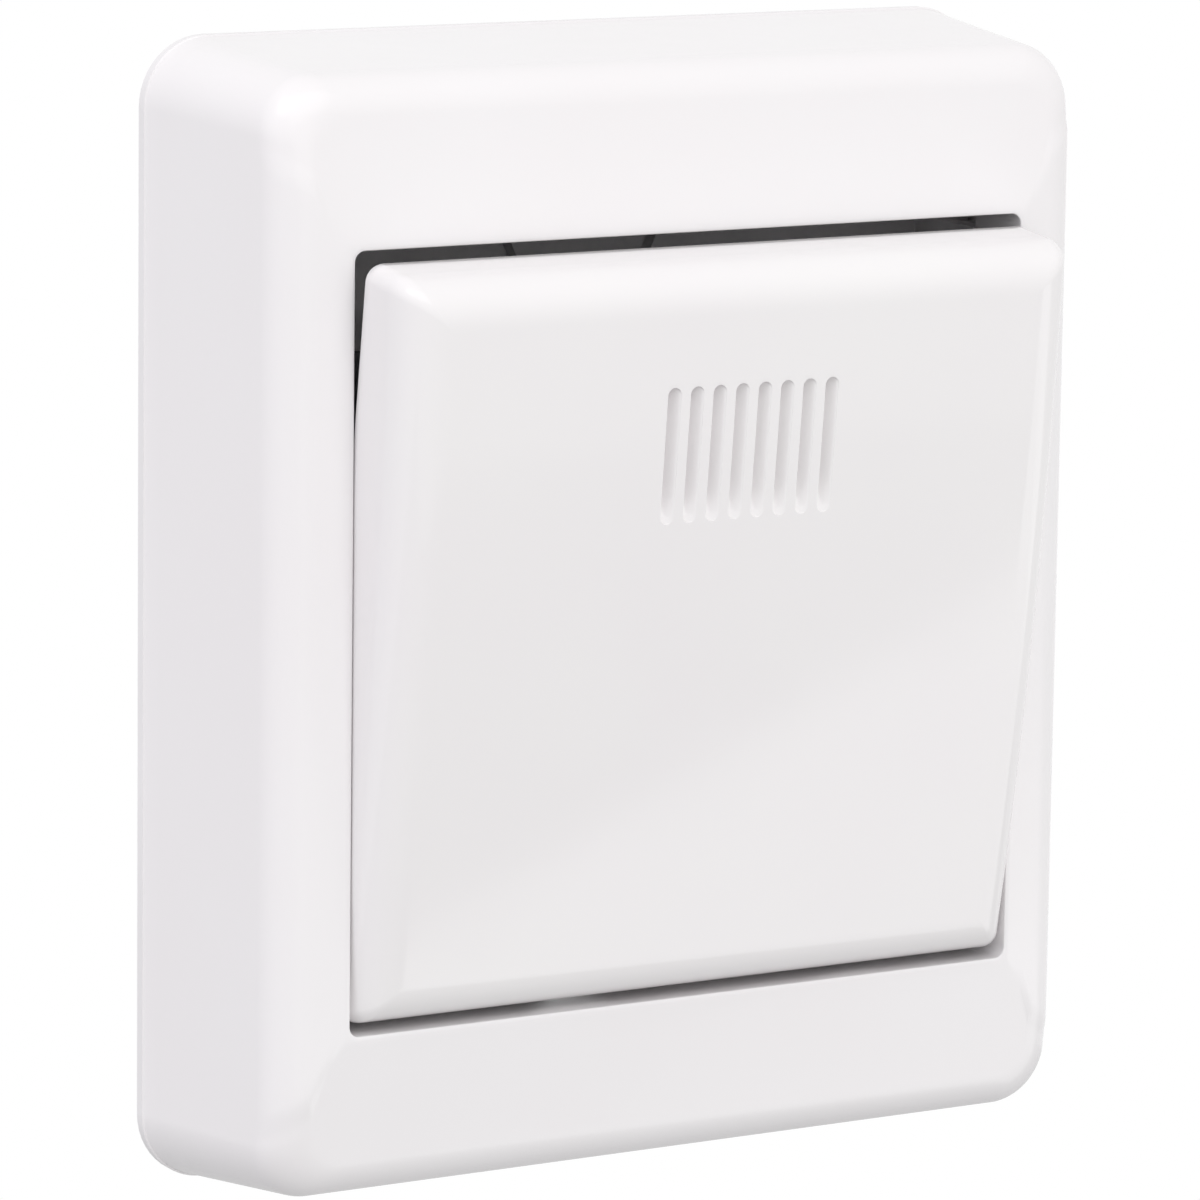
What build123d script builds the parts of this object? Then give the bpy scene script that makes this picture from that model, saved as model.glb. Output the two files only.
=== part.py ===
from build123d import *
import math
import os

# Surface-mounted one-gang rocker switch with an indicator lamp, in millimetres.
# Every piece is drawn lying on its back: X to the right, Y up the wall and Z out of the wall,
# with the wall at Z = 0. Before it is written, each piece is stood up on its wall, so that in
# the files +Z is up, +Y points into the wall and the wall face lies at Y = 0.

# Cover
cover_width = 70.4            # across its back edge
cover_height = 83.1           # up its back edge
frame_front = 18.5            # from the wall to the frame's front beside the opening
side_taper = 5.65             # degrees, all four sides
corner_radius = 4.9           # upright corners at the back edge
front_corner = 4.1            # the same corners at the front
front_round = 3.3             # rounded edge between the sides and the front
border_fall = 0.9             # the borders fall this much from the opening to their outer edge
cover_wall = 2.0
cover_front_wall = 3.0
opening_size = 56.0           # square opening for the rocker
opening_corner = 0.8
opening_lip = 0.3             # level rim round the opening
collar_wall = 1.6             # wall that runs inwards round the opening
collar_depth = 6.0
cover_rib_wall = 1.2          # ribs between the collar and the ends of the cover
cover_rib_height = 4.0
cover_rib_spacing = 32.0

# Base plate
flange_thickness = 0.8
flange_lip = 0.15             # the flange stands this far out of the cover all round
seam = 0.05                   # shadow line between the flange and the cover
floor_thickness = 2.0
rim_wall = 1.4                # ring that centres the cover
rim_height = 3.0
rim_clearance = 0.3
wall_screw_spacing_x = 50.0
wall_screw_spacing_up = 60.0
wall_slot_width = 4.2
wall_slot_length = 7.0
entry_gap = 1.27              # round the rear cable entries, to the mechanism and to the rim
knock_out_web = 0.6           # thin web that still closes the upper entry
knock_out_groove = 0.8
back_hollow = 0.4             # shallow hollow of the back, inside the strip that rests on the wall
back_strip = 4.0
back_hollow_corner = 2.0
back_land = 2.2               # left level with the strip, round each slot and entry
back_rib = 3.0                # ribs that cross the hollow at its middle

# Snap hooks that hold the cover
hook_wall = 1.4
hook_width = 8.0
hook_spacing = 44.0
hook_top = 10.0
hook_nose = 0.9
hook_nose_height = 1.6
hook_nose_edge = 0.5
catch_height = 2.0
catch_clearance = 0.3

# Cable grommet
grommet_wall = 3.0            # between its outside and the bore for the cable
grommet_flange = 1.2
grommet_lip = 1.2
grommet_clearance = 0.1
grommet_back_gap = 0.2
grommet_edge = 0.4

# Mechanism body
body_width = 42.0
body_depth = 11.0
body_corner = 1.5
body_floor = 1.6
chamber_width = 17.0
lug_reach = 6.5               # screw lugs at the left and right
lug_width = 8.0
lug_thickness = 2.5
boss_height = 3.0             # bosses of the base plate below the lugs
boss_radius = 2.8
screw_shank = 1.5
screw_head = 2.75
screw_head_height = 1.8
screw_bite = 4.0              # how far the shank goes into the boss
screw_clearance = 0.05
screw_tip_gap = 0.3
driver_slot_width = 0.7
driver_slot_depth = 0.7

# Terminals
terminal_x = 13.5             # from the middle to the four terminal blocks
terminal_above_lamp = 1.4
block_width = 7.5
block_length = 6.5
block_height = 6.5
pocket_clearance = 0.3
pocket_end_wall = 0.95
wire_height = 2.6             # middle of the wire hole above the block's foot
wire_hole = 1.3
wire_entry = 1.9
clamp_shank = 1.25
clamp_head = 2.0
clamp_head_height = 1.2
clamp_bite = 2.5
strip_thickness = 0.8
strip_width = 3.2
strip_clearance = 0.15

# Contacts
rock_axis_height = 7.5        # the contact bridge's axis above the wall
rock_angle = 6.0              # degrees to either side of level
bridge_width = 6.8
bridge_end_gap = 1.0          # between the bridge and the ends of its chamber
bridge_thickness = 1.2
bridge_corner = 1.0
cheek_wall = 0.8
cheek_height = 1.0
cheek_length = 8.0
bridge_pin = 1.0
bridge_pin_clearance = 0.05
cradle_wall = 0.8
cradle_gap = 0.6              # between cheek and cradle
cradle_width = 4.0
cradle_height = 1.6           # above the bridge's axis
moving_rivet = 1.3
moving_rivet_height = 0.8
fixed_rivet = 1.5
contact_gap = 0.05            # left between closed rivets

# Mechanism lid
lid_thickness = 2.0
lid_rest = 0.2                # the lid covers this much past the chamber's ends
lid_lens_gap = 0.6            # between the lid and the lamp's lens
lid_window_width = 7.6
lid_window_length = 9.6
lid_screw_x = 17.5
lid_screw_head = 1.9
lid_screw_head_height = 1.4
lid_screw_shank = 1.1
lid_screw_bite = 4.0
ear_inner = 10.0              # from the middle to the inner face of each bearing ear
ear_wall = 2.2
ear_rim = 1.0                 # wall round the trunnion hole

# Rocker
tilt = 7.4                    # degrees to either side of level
pivot_behind_front = 0.5      # the tilting axis behind the frame's front
rocker_side_gap = 0.2
rocker_end_gap = 0.7
face_height = 5.7             # the face above the axis, at its middle
face_crown = 0.8              # how far the face falls to its upper and lower ends
edge_round = 3.0
rocker_corner = 1.7
skirt_below_axis = 2.5
rocker_wall = 1.6
face_thickness = 2.4
groove_count = 8
groove_width = 1.1
groove_length = 9.9
groove_pitch = 1.885
groove_depth = 0.6
groove_up = 13.9              # middle of the grooves above the rocker's middle
groove_x = 0.45
glow_wall = 0.8               # left between the grooves and the light pocket behind them
glow_margin = 0.6
clip_width = 12.0
clip_wall = 1.2
clip_nose = 0.6
clip_nose_height = 0.8
clip_clearance = 0.1

# Rocker carrier
carrier_width = 30.0
carrier_length = 16.0
carrier_thickness = 1.3
carrier_corner = 1.5
trunnion = 1.5
trunnion_clearance = 0.05
lug_wall = 1.5
lug_gap = 0.3                 # between a lug and its ear
hub_radius = 3.2
hub_drop = 5.2                # below the axis
web_thickness = 2.4
web_drop = 1.5
window_clearance = 0.5        # round each ear

# Plunger and its spring
plunger_radius = 1.65
plunger_fit = 0.05
plunger_grip = 2.3            # length that stays in the hub
tip_gap = 0.15                # over the bridge when both stand level
bore_above_axis = 1.5
spring_wire = 0.4
spring_radius = 1.15          # to the middle of the wire
spring_turns = 4
spring_end_gap = 0.05

# Indicator lamp
lamp_radius = 1.7
lamp_length = 8.0
lamp_below_grooves = 1.3
lamp_glass = 0.35
lamp_clearance = 0.05
bead_thickness = 1.0
electrode_radius = 0.35
electrode_spacing = 1.3
electrode_length = 4.6
holder_floor = 0.5
holder_width = 3.6
holder_length = 7.4
saddle_wall = 1.2
saddle_spacing = 4.6
lens_wall = 0.5
lens_gap = 0.3
lens_length = 9.8
resistor_radius = 0.85
resistor_length = 3.0
resistor_gap = 0.4            # between the lens and the resistor
lead_radius = 0.25
lead_inset = 0.7              # from the side of the block to the lead
lead_bend = 0.8
lead_lift = 0.1               # between the long lead and the mechanism body
lead_row = 3.3                # from the lamp's axis to the long lead beside the lens

# Worked out from the sizes above
margin = 1.0                  # how far a cutter runs past what it cuts
pivot_height = frame_front - pivot_behind_front
cover_seat = flange_thickness + seam
shoulder_height = frame_front - border_fall
ceiling_height = frame_front - cover_front_wall
collar_bottom = frame_front - collar_depth
fall_per_height = math.tan(math.radians(side_taper))
rim_top = floor_thickness + rim_height
body_top = floor_thickness + body_depth
body_bottom = floor_thickness + body_floor
lid_top = body_top + lid_thickness
strip_top = body_bottom + strip_thickness
block_top = strip_top + block_height
boss_top = floor_thickness + boss_height
lug_top = boss_top + lug_thickness
mechanism_screw_x = (body_width + lug_reach) / 2
ear_outer = ear_inner + ear_wall
ear_radius = trunnion + trunnion_clearance + ear_rim
lug_outer = ear_inner - lug_gap
rocker_width = opening_size - 2 * rocker_side_gap
rocker_length = opening_size - 2 * rocker_end_gap
crown_radius = (rocker_length / 2) ** 2 / (2 * face_crown)
rocker_ceiling = face_height - face_thickness
carrier_bottom = rocker_ceiling - carrier_thickness
bridge_top = bridge_thickness / 2
cradle_inner = bridge_width / 2 + cradle_gap
tip_drop = pivot_height - rock_axis_height - bridge_top - tip_gap
plunger_top = plunger_grip - hub_drop
lamp_up = groove_up - lamp_below_grooves
lamp_height = body_top + holder_floor + lamp_radius + lamp_clearance
lamp_end = groove_x + lamp_length / 2
lens_inner = lamp_radius + lens_gap
lens_outer = lens_inner + lens_wall
lens_end = groove_x + lens_length / 2
lid_length = 2 * (lamp_up - lens_outer - lid_lens_gap)
chamber_height = lid_length - 2 * lid_rest
bridge_reach = chamber_height / 2 - bridge_end_gap
contact_reach = bridge_reach - moving_rivet
terminal_y = lamp_up + terminal_above_lamp
body_height = 2 * (terminal_y + block_length / 2 + pocket_clearance + pocket_end_wall)
resistor_left = lens_end + resistor_gap
lead_x = terminal_x - block_width / 2 + lead_inset
upper_wire_y = lamp_up + electrode_spacing / 2
lower_wire_y = lamp_up - electrode_spacing / 2


def inner_half(size, height):
    """Half the clear width between the cover's tapered walls, at a height above the wall."""
    return size / 2 - cover_wall - (height - cover_seat) * fall_per_height


rim_inner = inner_half(cover_height, rim_top) - rim_clearance - rim_wall
entry_zone = rim_inner - body_height / 2
entry_offset = rim_inner - entry_zone / 2
entry_radius = entry_zone / 2 - entry_gap - grommet_lip
grommet_bore = entry_radius - grommet_wall


def block(width, length, low, high, x=0.0, y=0.0):
    """A plain box over the point (x, y), from one height to another."""
    return Pos(x, y, (low + high) / 2) * Box(width, length, high - low)


def span_block(left, right, near, far, low, high):
    """A plain box given by its limits along X, Y and Z."""
    return block(right - left, far - near, low, high, (left + right) / 2, (near + far) / 2)


def post(radius, low, high, x=0.0, y=0.0):
    """A round post or hole over the point (x, y), from one height to another."""
    return Pos(x, y, (low + high) / 2) * Cylinder(radius, high - low)


def cross_pin(radius, left, right, y, height):
    """A round pin or hole that lies along X."""
    return Pos((left + right) / 2, y, height) * Rot(0, 90, 0) * Cylinder(radius, right - left)


def up_pin(radius, near, far, x, height):
    """A round pin or hole that lies along Y."""
    return Pos(x, (near + far) / 2, height) * Rot(90, 0, 0) * Cylinder(radius, far - near)


def rounded_block(width, length, radius, low, high, x=0.0, y=0.0):
    """A box with rounded upright edges."""
    return Pos(x, y, low) * extrude(RectangleRounded(width, length, radius), high - low)


def tapered_block(width, length, radius, low, high):
    """A box with rounded upright edges, whose sides lean in with the cover's taper."""
    return Pos(0, 0, low) * extrude(RectangleRounded(width, length, radius), high - low, taper=side_taper)


def on_both_sides(shape):
    """A piece and its mirror image to the left of the middle, as one."""
    return shape + mirror(shape, Plane.YZ)


def at_both_ends(shape):
    """A piece and its mirror image below the middle, as one."""
    return shape + mirror(shape, Plane.XZ)


# Cover

def outline_at(height, width, length, radius):
    """A rounded rectangle at a height above the wall."""
    return (Pos(0, 0, height) * RectangleRounded(width, length, radius)).faces()[0]


def cover_outside():
    """The cover as a solid: tapered sides, borders that fall away and a rounded front edge."""
    lean = 2 * (shoulder_height - cover_seat) * fall_per_height
    lip = opening_size + 2 * opening_lip
    back = outline_at(cover_seat, cover_width, cover_height, corner_radius)
    shoulder = outline_at(shoulder_height, cover_width - lean, cover_height - lean, front_corner)
    body = loft([back, shoulder], ruled=True)
    body += loft([shoulder, outline_at(frame_front, lip, lip, opening_corner)], ruled=True)
    front_edge = [edge for edge in body.edges() if abs(edge.center().Z - shoulder_height) < border_fall / 10]
    return fillet(front_edge, front_round)


def cover_ribs():
    """Four ribs from the collar to the upper and lower ends of the cover."""
    near = opening_size / 2 + collar_wall / 2
    far = inner_half(cover_height, ceiling_height) + cover_wall / 2
    rib = span_block(0, cover_rib_wall, near, far, ceiling_height - cover_rib_height, ceiling_height)
    return at_both_ends(on_both_sides(Pos((cover_rib_spacing - cover_rib_wall) / 2, 0, 0) * rib))


def cover_catches():
    """Four ledges on the side walls, which the snap hooks of the base plate hold."""
    high = hook_top - hook_nose_height - catch_clearance
    near = hook_outer_face() + catch_clearance
    far = inner_half(cover_width, high) + cover_wall / 2
    ledge = span_block(near, far, -hook_width / 2, hook_width / 2, high - catch_height, high)
    return at_both_ends(on_both_sides(Pos(0, hook_spacing / 2, 0) * ledge))


def make_cover():
    cover = cover_outside()
    cover -= tapered_block(cover_width - 2 * cover_wall, cover_height - 2 * cover_wall,
                           corner_radius - cover_wall, cover_seat, ceiling_height)
    collar_size = opening_size + 2 * collar_wall
    cover += rounded_block(collar_size, collar_size, opening_corner + collar_wall, collar_bottom,
                           ceiling_height)
    cover += cover_ribs()
    cover -= rounded_block(opening_size, opening_size, opening_corner, cover_seat, frame_front + margin)
    return cover + cover_catches()


# Base plate

def hook_outer_face():
    """Distance from the middle to the outer face of the snap hooks."""
    return inner_half(cover_width, hook_top) - hook_nose - catch_clearance


def snap_hook():
    """One springy hook on the right-hand side, at the middle of the height."""
    face = hook_outer_face()
    low = hook_top - hook_nose_height
    tongue = span_block(face - hook_wall, face, -hook_width / 2, hook_width / 2, floor_thickness, hook_top)
    outline = Polyline((face, low), (face + hook_nose, low), (face + hook_nose, low + hook_nose_edge),
                       (face, hook_top), close=True)
    nose = extrude(Plane.XZ * make_face(outline), hook_width / 2, both=True)
    return tongue + nose


def centring_rim():
    """The ring inside the cover's back edge."""
    half_width = inner_half(cover_width, rim_top) - rim_clearance
    half_height = inner_half(cover_height, rim_top) - rim_clearance
    corner = corner_radius - cover_wall - rim_clearance - (rim_top - cover_seat) * fall_per_height
    outside = rounded_block(2 * half_width, 2 * half_height, corner, flange_thickness, rim_top)
    inside = rounded_block(2 * (half_width - rim_wall), 2 * (half_height - rim_wall), corner - rim_wall,
                           floor_thickness, rim_top + margin)
    return outside - inside


def wall_slots():
    """Four level slots for the screws that hold the switch on a wall."""
    slot = Pos(0, 0, -margin) * extrude(SlotOverall(wall_slot_length, wall_slot_width),
                                        floor_thickness + 2 * margin)
    corner = Pos(wall_screw_spacing_x / 2, wall_screw_spacing_up / 2, 0) * slot
    return at_both_ends(on_both_sides(corner))


def knock_out():
    """A round groove that leaves a thin web over the upper cable entry."""
    ring = post(entry_radius, knock_out_web, floor_thickness + margin)
    return ring - post(entry_radius - knock_out_groove, knock_out_web, floor_thickness + margin)


def hollow_of_the_back():
    """The shallow hollow of the plate's back, without the lands and ribs that still touch the wall."""
    width = cover_width - 2 * back_strip
    height = cover_height - 2 * back_strip
    hollow = rounded_block(width, height, back_hollow_corner, -margin, back_hollow)
    land = Pos(wall_screw_spacing_x / 2, wall_screw_spacing_up / 2, -margin) * extrude(
        SlotOverall(wall_slot_length + 2 * back_land, wall_slot_width + 2 * back_land), back_hollow + margin)
    hollow -= at_both_ends(on_both_sides(land))
    hollow -= at_both_ends(post(entry_radius + back_land, -margin, back_hollow, 0, entry_offset))
    hollow -= block(width, back_rib, -margin, back_hollow)
    return hollow - block(back_rib, height, -margin, back_hollow)


def make_base_plate():
    width = cover_width + 2 * flange_lip
    height = cover_height + 2 * flange_lip
    plate = rounded_block(width, height, corner_radius + flange_lip, 0, flange_thickness)
    plate += centring_rim()
    plate -= hollow_of_the_back()
    plate += at_both_ends(on_both_sides(Pos(0, hook_spacing / 2, 0) * snap_hook()))
    boss = post(boss_radius, floor_thickness, boss_top, mechanism_screw_x)
    plate += on_both_sides(boss)
    pilot = post(screw_shank + screw_clearance, boss_top - screw_bite - screw_tip_gap, boss_top + margin,
                 mechanism_screw_x)
    plate -= on_both_sides(pilot)
    plate -= wall_slots()
    plate -= post(entry_radius, -margin, floor_thickness + margin, 0, -entry_offset)
    return plate - Pos(0, entry_offset, 0) * knock_out()


def make_cable_grommet():
    plug = post(entry_radius - grommet_clearance, grommet_back_gap, floor_thickness)
    collar = post(entry_radius + grommet_lip, floor_thickness, floor_thickness + grommet_flange)
    upper_edge = collar.edges().group_by(Axis.Z)[-1]
    ring = plug + fillet(upper_edge, grommet_edge)
    ring -= post(grommet_bore, -margin, floor_thickness + grommet_flange + margin)
    return Pos(0, -entry_offset, 0) * ring


# Mechanism body, lid and their screws

def terminal_pocket():
    """The hollow for one terminal block, open to the front, with its wire entry."""
    width = block_width + 2 * pocket_clearance
    length = block_length + 2 * pocket_clearance
    pocket = block(width, length, body_bottom, body_top + margin, terminal_x, terminal_y)
    entry = up_pin(wire_entry, terminal_y, body_height / 2 + margin, terminal_x, strip_top + wire_height)
    return pocket + entry


def strip_channel(near, far, start):
    """A bent channel for a contact strip: level from the chamber, then up to its pocket."""
    side = strip_width / 2 + strip_clearance
    level = span_block(start, terminal_x + side, near - strip_clearance, far + strip_clearance,
                       body_bottom, body_top + margin)
    upright = span_block(terminal_x - side, terminal_x + side, near - strip_clearance, terminal_y,
                         body_bottom, body_top + margin)
    return level + upright


def make_mechanism_body():
    body = rounded_block(body_width, body_height, body_corner, floor_thickness, body_top)
    lug = span_block(body_width / 2 - margin, body_width / 2 + lug_reach, -lug_width / 2, lug_width / 2,
                     boss_top, lug_top)
    body += on_both_sides(fillet(lug.edges().filter_by(Axis.Z).group_by(Axis.X)[-1], body_corner))
    hole = post(screw_shank + screw_clearance, boss_top - margin, lug_top + margin, mechanism_screw_x)
    body -= on_both_sides(hole)
    body -= block(chamber_width, chamber_height, body_bottom, body_top + margin)
    body -= at_both_ends(on_both_sides(terminal_pocket()))
    contact_channel = strip_channel(contact_reach - strip_width / 2, contact_reach + strip_width / 2, 0)
    body -= at_both_ends(mirror(contact_channel, Plane.YZ))
    body -= mirror(strip_channel(-strip_width / 2, strip_width / 2, 0), Plane.XZ)
    lid_pilot = post(lid_screw_shank + screw_clearance, body_top - lid_screw_bite - screw_tip_gap,
                     body_top + margin, lid_screw_x)
    return body - on_both_sides(lid_pilot)


def bearing_ear():
    """One ear with a round top and the hole for a trunnion."""
    stand = span_block(ear_inner, ear_outer, -ear_radius, ear_radius, lid_top, pivot_height)
    ear = stand + cross_pin(ear_radius, ear_inner, ear_outer, 0, pivot_height)
    hole = cross_pin(trunnion + trunnion_clearance, ear_inner - margin, ear_outer + margin, 0, pivot_height)
    return ear - hole


def make_mechanism_lid():
    lid = rounded_block(body_width, lid_length, body_corner, body_top, lid_top)
    lid -= block(lid_window_width, lid_window_length, body_top - margin, lid_top + margin)
    hole = post(lid_screw_shank + screw_clearance, body_top - margin, lid_top + margin, lid_screw_x)
    lid -= on_both_sides(hole)
    return lid + on_both_sides(bearing_ear())


def pan_screw(shank, length, head, head_height, seat):
    """A screw with a slotted head that sits at a height, and its shank below it."""
    head_top = seat + head_height
    crown = post(head, seat, head_top)
    screw = fillet(crown.edges().group_by(Axis.Z)[-1], head_height / 4) + post(shank, seat - length, seat)
    return screw - block(driver_slot_width, 2 * head + margin, head_top - driver_slot_depth, head_top + margin)


def make_mechanism_screws():
    length = lug_thickness + screw_bite
    screw = pan_screw(screw_shank, length, screw_head, screw_head_height, lug_top)
    return [Pos(side * mechanism_screw_x, 0, 0) * screw for side in (-1, 1)]


def make_lid_screws():
    length = lid_thickness + lid_screw_bite
    screw = pan_screw(lid_screw_shank, length, lid_screw_head, lid_screw_head_height, lid_top)
    return [Pos(side * lid_screw_x, 0, 0) * screw for side in (-1, 1)]


# Terminals and contacts

def clamp_block():
    """The brass block of the upper right-hand terminal, with its wire hole and screw hole."""
    body = block(block_width, block_length, strip_top, block_top, terminal_x, terminal_y)
    near = terminal_y - block_length
    far = terminal_y + block_length
    body -= up_pin(wire_hole, near, far, terminal_x, strip_top + wire_height)
    return body - post(clamp_shank + screw_clearance, strip_top + wire_height, block_top + margin,
                       terminal_x, terminal_y)


def switched_terminal():
    """The upper left-hand terminal: its block, and the strip that carries a fixed contact."""
    near = contact_reach - strip_width / 2
    far = contact_reach + strip_width / 2
    side = terminal_x + strip_width / 2
    level = span_block(-strip_width / 2, side, near, far, body_bottom, strip_top)
    upright = span_block(side - strip_width, side, near, terminal_y, body_bottom, strip_top)
    return mirror(clamp_block() + level + upright, Plane.YZ)


def make_upper_terminal():
    return switched_terminal()


def make_lower_terminal():
    return mirror(switched_terminal(), Plane.XZ)


def make_common_terminal():
    """The lower right-hand terminal, whose strip ends in the cradle of the contact bridge."""
    half = strip_width / 2
    side = terminal_x + half
    cradle_outer = cradle_inner + cradle_wall
    level = span_block(-cradle_outer, side, -half, half, body_bottom, strip_top)
    upright = span_block(side - strip_width, side, -half, terminal_y, body_bottom, strip_top)
    ear = span_block(cradle_inner, cradle_outer, -cradle_width / 2, cradle_width / 2, body_bottom,
                     rock_axis_height + cradle_height)
    ear = fillet(ear.edges().filter_by(Axis.X).group_by(Axis.Z)[-1], cradle_width / 4)
    ear -= cross_pin(bridge_pin + bridge_pin_clearance, cradle_inner - margin, cradle_outer + margin, 0,
                     rock_axis_height)
    strip = mirror(clamp_block() + upright, Plane.XZ) + level
    return strip + on_both_sides(ear)


def make_lamp_terminal():
    foot = block(block_width, block_length, body_bottom, strip_top, terminal_x, terminal_y)
    return clamp_block() + foot


def make_terminal_screws():
    screw = pan_screw(clamp_shank, clamp_bite, clamp_head, clamp_head_height, block_top)
    places = [(across, up) for across in (-1, 1) for up in (-1, 1)]
    return [Pos(across * terminal_x, up * terminal_y, 0) * screw for across, up in places]


def make_fixed_contacts():
    """Two rivets that end just below the moving ones when these are closed."""
    closed = math.radians(rock_angle)
    below_axis = (bridge_thickness / 2 + moving_rivet_height) * math.cos(closed)
    below_axis += (contact_reach + moving_rivet) * math.sin(closed)
    top = rock_axis_height - below_axis - contact_gap
    return [post(fixed_rivet, strip_top, top, 0, side * contact_reach) for side in (-1, 1)]


def rocked(shape):
    """Turns a piece drawn about the bridge's axis to its place at rest: upper arm pressed in."""
    return Pos(0, 0, rock_axis_height) * Rot(-rock_angle, 0, 0) * shape


def make_contact_bridge():
    blade = rounded_block(bridge_width, 2 * bridge_reach, bridge_corner, -bridge_thickness / 2, bridge_top)
    outer = bridge_width / 2
    cheek = span_block(outer - cheek_wall, outer, -cheek_length / 2, cheek_length / 2, -bridge_top,
                       bridge_top + cheek_height)
    pin = cross_pin(bridge_pin, outer - cheek_wall, cradle_inner + cradle_wall, 0, 0)
    return rocked(blade + on_both_sides(cheek + pin))


def make_moving_contacts():
    foot = -bridge_top - moving_rivet_height
    return [rocked(post(moving_rivet, foot, -bridge_top, 0, side * contact_reach)) for side in (-1, 1)]


# Rocker and its carrier

def tilted(shape):
    """Turns a piece drawn about the rocker's axis to its place at rest: upper end out."""
    return Pos(0, 0, pivot_height) * Rot(tilt, 0, 0) * shape


def crowned_end_profile(high):
    """The rocker seen from the side: skirt, crowned face and rounded ends."""
    outline = Pos(0, (high - skirt_below_axis) / 2) * Rectangle(rocker_length, high + skirt_below_axis)
    outline &= Pos(0, face_height - crown_radius) * Circle(crown_radius)
    return fillet(outline.vertices().sort_by(Axis.Y)[-2:], edge_round)


def rocker_outside():
    """The rocker as a solid. Its long edges are rounded along the crown, so the corners meet in a mitre."""
    high = face_height + margin
    lengthwise = extrude(Plane.YZ * crowned_end_profile(high), rocker_width / 2 + margin, both=True)
    low = -skirt_below_axis - 2 * margin
    section = Pos(0, (face_height + low) / 2) * Rectangle(rocker_width, face_height - low)
    section = fillet(section.vertices().sort_by(Axis.Y)[-2:], edge_round)
    crown_axis = Axis((0, 0, face_height - crown_radius), (1, 0, 0))
    sweep_angle = math.degrees(math.asin((rocker_length / 2 + 2 * margin) / crown_radius))
    start = (Plane.XZ * section).rotate(crown_axis, -sweep_angle)
    crosswise = revolve(start, crown_axis, 2 * sweep_angle)
    plan = rounded_block(rocker_width, rocker_length, rocker_corner, -skirt_below_axis, high)
    return lengthwise & crosswise & plan


def on_crown(shape):
    """Moves a piece drawn at the face's middle up along the crown to the grooves."""
    turn = math.degrees(math.asin(groove_up / crown_radius))
    centre = face_height - crown_radius
    return Pos(0, 0, centre) * Rot(-turn, 0, 0) * Pos(groove_x, 0, -centre) * shape


def indicator_grooves():
    """Cutters for the row of round-ended grooves."""
    shape = Rot(0, 0, 90) * SlotOverall(groove_length, groove_width)
    cutter = Pos(0, 0, face_height - groove_depth) * extrude(shape, groove_depth + margin)
    first = -(groove_count - 1) * groove_pitch / 2
    return [on_crown(Pos(first + number * groove_pitch, 0, 0) * cutter) for number in range(groove_count)]


def glow_pocket():
    """The hollow behind the grooves that lets the lamp shine through."""
    width = (groove_count - 1) * groove_pitch + groove_width + 2 * glow_margin
    length = groove_length + 2 * glow_margin
    high = face_height - groove_depth - glow_wall
    return on_crown(block(width, length, rocker_ceiling - margin, high))


def carrier_clip():
    """A hook under the rocker that snaps over the upper edge of the carrier."""
    near = carrier_length / 2 + clip_clearance
    nose_top = carrier_bottom - clip_clearance
    low = nose_top - clip_nose_height
    rail = span_block(-clip_width / 2, clip_width / 2, near, near + clip_wall, low, rocker_ceiling + margin)
    nose = span_block(-clip_width / 2, clip_width / 2, near - clip_nose, near, low, nose_top)
    return rail + nose


def make_rocker():
    rocker = rocker_outside()
    rocker -= rounded_block(rocker_width - 2 * rocker_wall, rocker_length - 2 * rocker_wall, rocker_corner,
                            -skirt_below_axis - margin, rocker_ceiling)
    rocker -= glow_pocket()
    rocker += at_both_ends(carrier_clip())
    for groove in indicator_grooves():
        rocker -= groove
    return tilted(rocker)


def carrier_lug():
    """One lug with a round foot, and the trunnion that turns in the ear of the lid."""
    inner = lug_outer - lug_wall
    foot = ear_radius - trunnion_clearance
    lug = span_block(inner, lug_outer, -foot, foot, 0, carrier_bottom)
    lug += cross_pin(foot, inner, lug_outer, 0, 0)
    return lug + cross_pin(trunnion, lug_outer, ear_outer, 0, 0)


def make_rocker_carrier():
    plate = rounded_block(carrier_width, carrier_length, carrier_corner, carrier_bottom, rocker_ceiling)
    opening = span_block(ear_inner - window_clearance, ear_outer + window_clearance,
                         -ear_radius - window_clearance, ear_radius + window_clearance,
                         carrier_bottom - margin, rocker_ceiling + margin)
    plate -= on_both_sides(opening)
    carrier = plate + on_both_sides(carrier_lug())
    carrier += block(2 * lug_outer, web_thickness, -web_drop, carrier_bottom)
    carrier += post(hub_radius, -hub_drop, carrier_bottom)
    carrier -= post(plunger_radius + plunger_fit, -hub_drop - margin, bore_above_axis)
    return tilted(carrier)


def make_plunger():
    centre = plunger_radius - tip_drop
    shaft = post(plunger_radius, centre, plunger_top)
    return tilted(shaft + Pos(0, 0, centre) * Sphere(plunger_radius))


# Plunger spring

def biarc(start, start_way, end, end_way):
    """Two arcs that join two points of a curve and keep its direction at both."""
    chord = end - start
    ways = start_way + end_way
    turn = 2 * (1 - start_way.dot(end_way))
    reach = (math.sqrt(chord.dot(ways) ** 2 + turn * chord.dot(chord)) - chord.dot(ways)) / turn
    joint = (start + end + (start_way - end_way) * reach) / 2
    return [TangentArc(start, joint, tangent=start_way),
            TangentArc(joint, end, tangent=(joint - start).normalized() * 2 * start_way.dot(
                (joint - start).normalized()) - start_way)]


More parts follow.
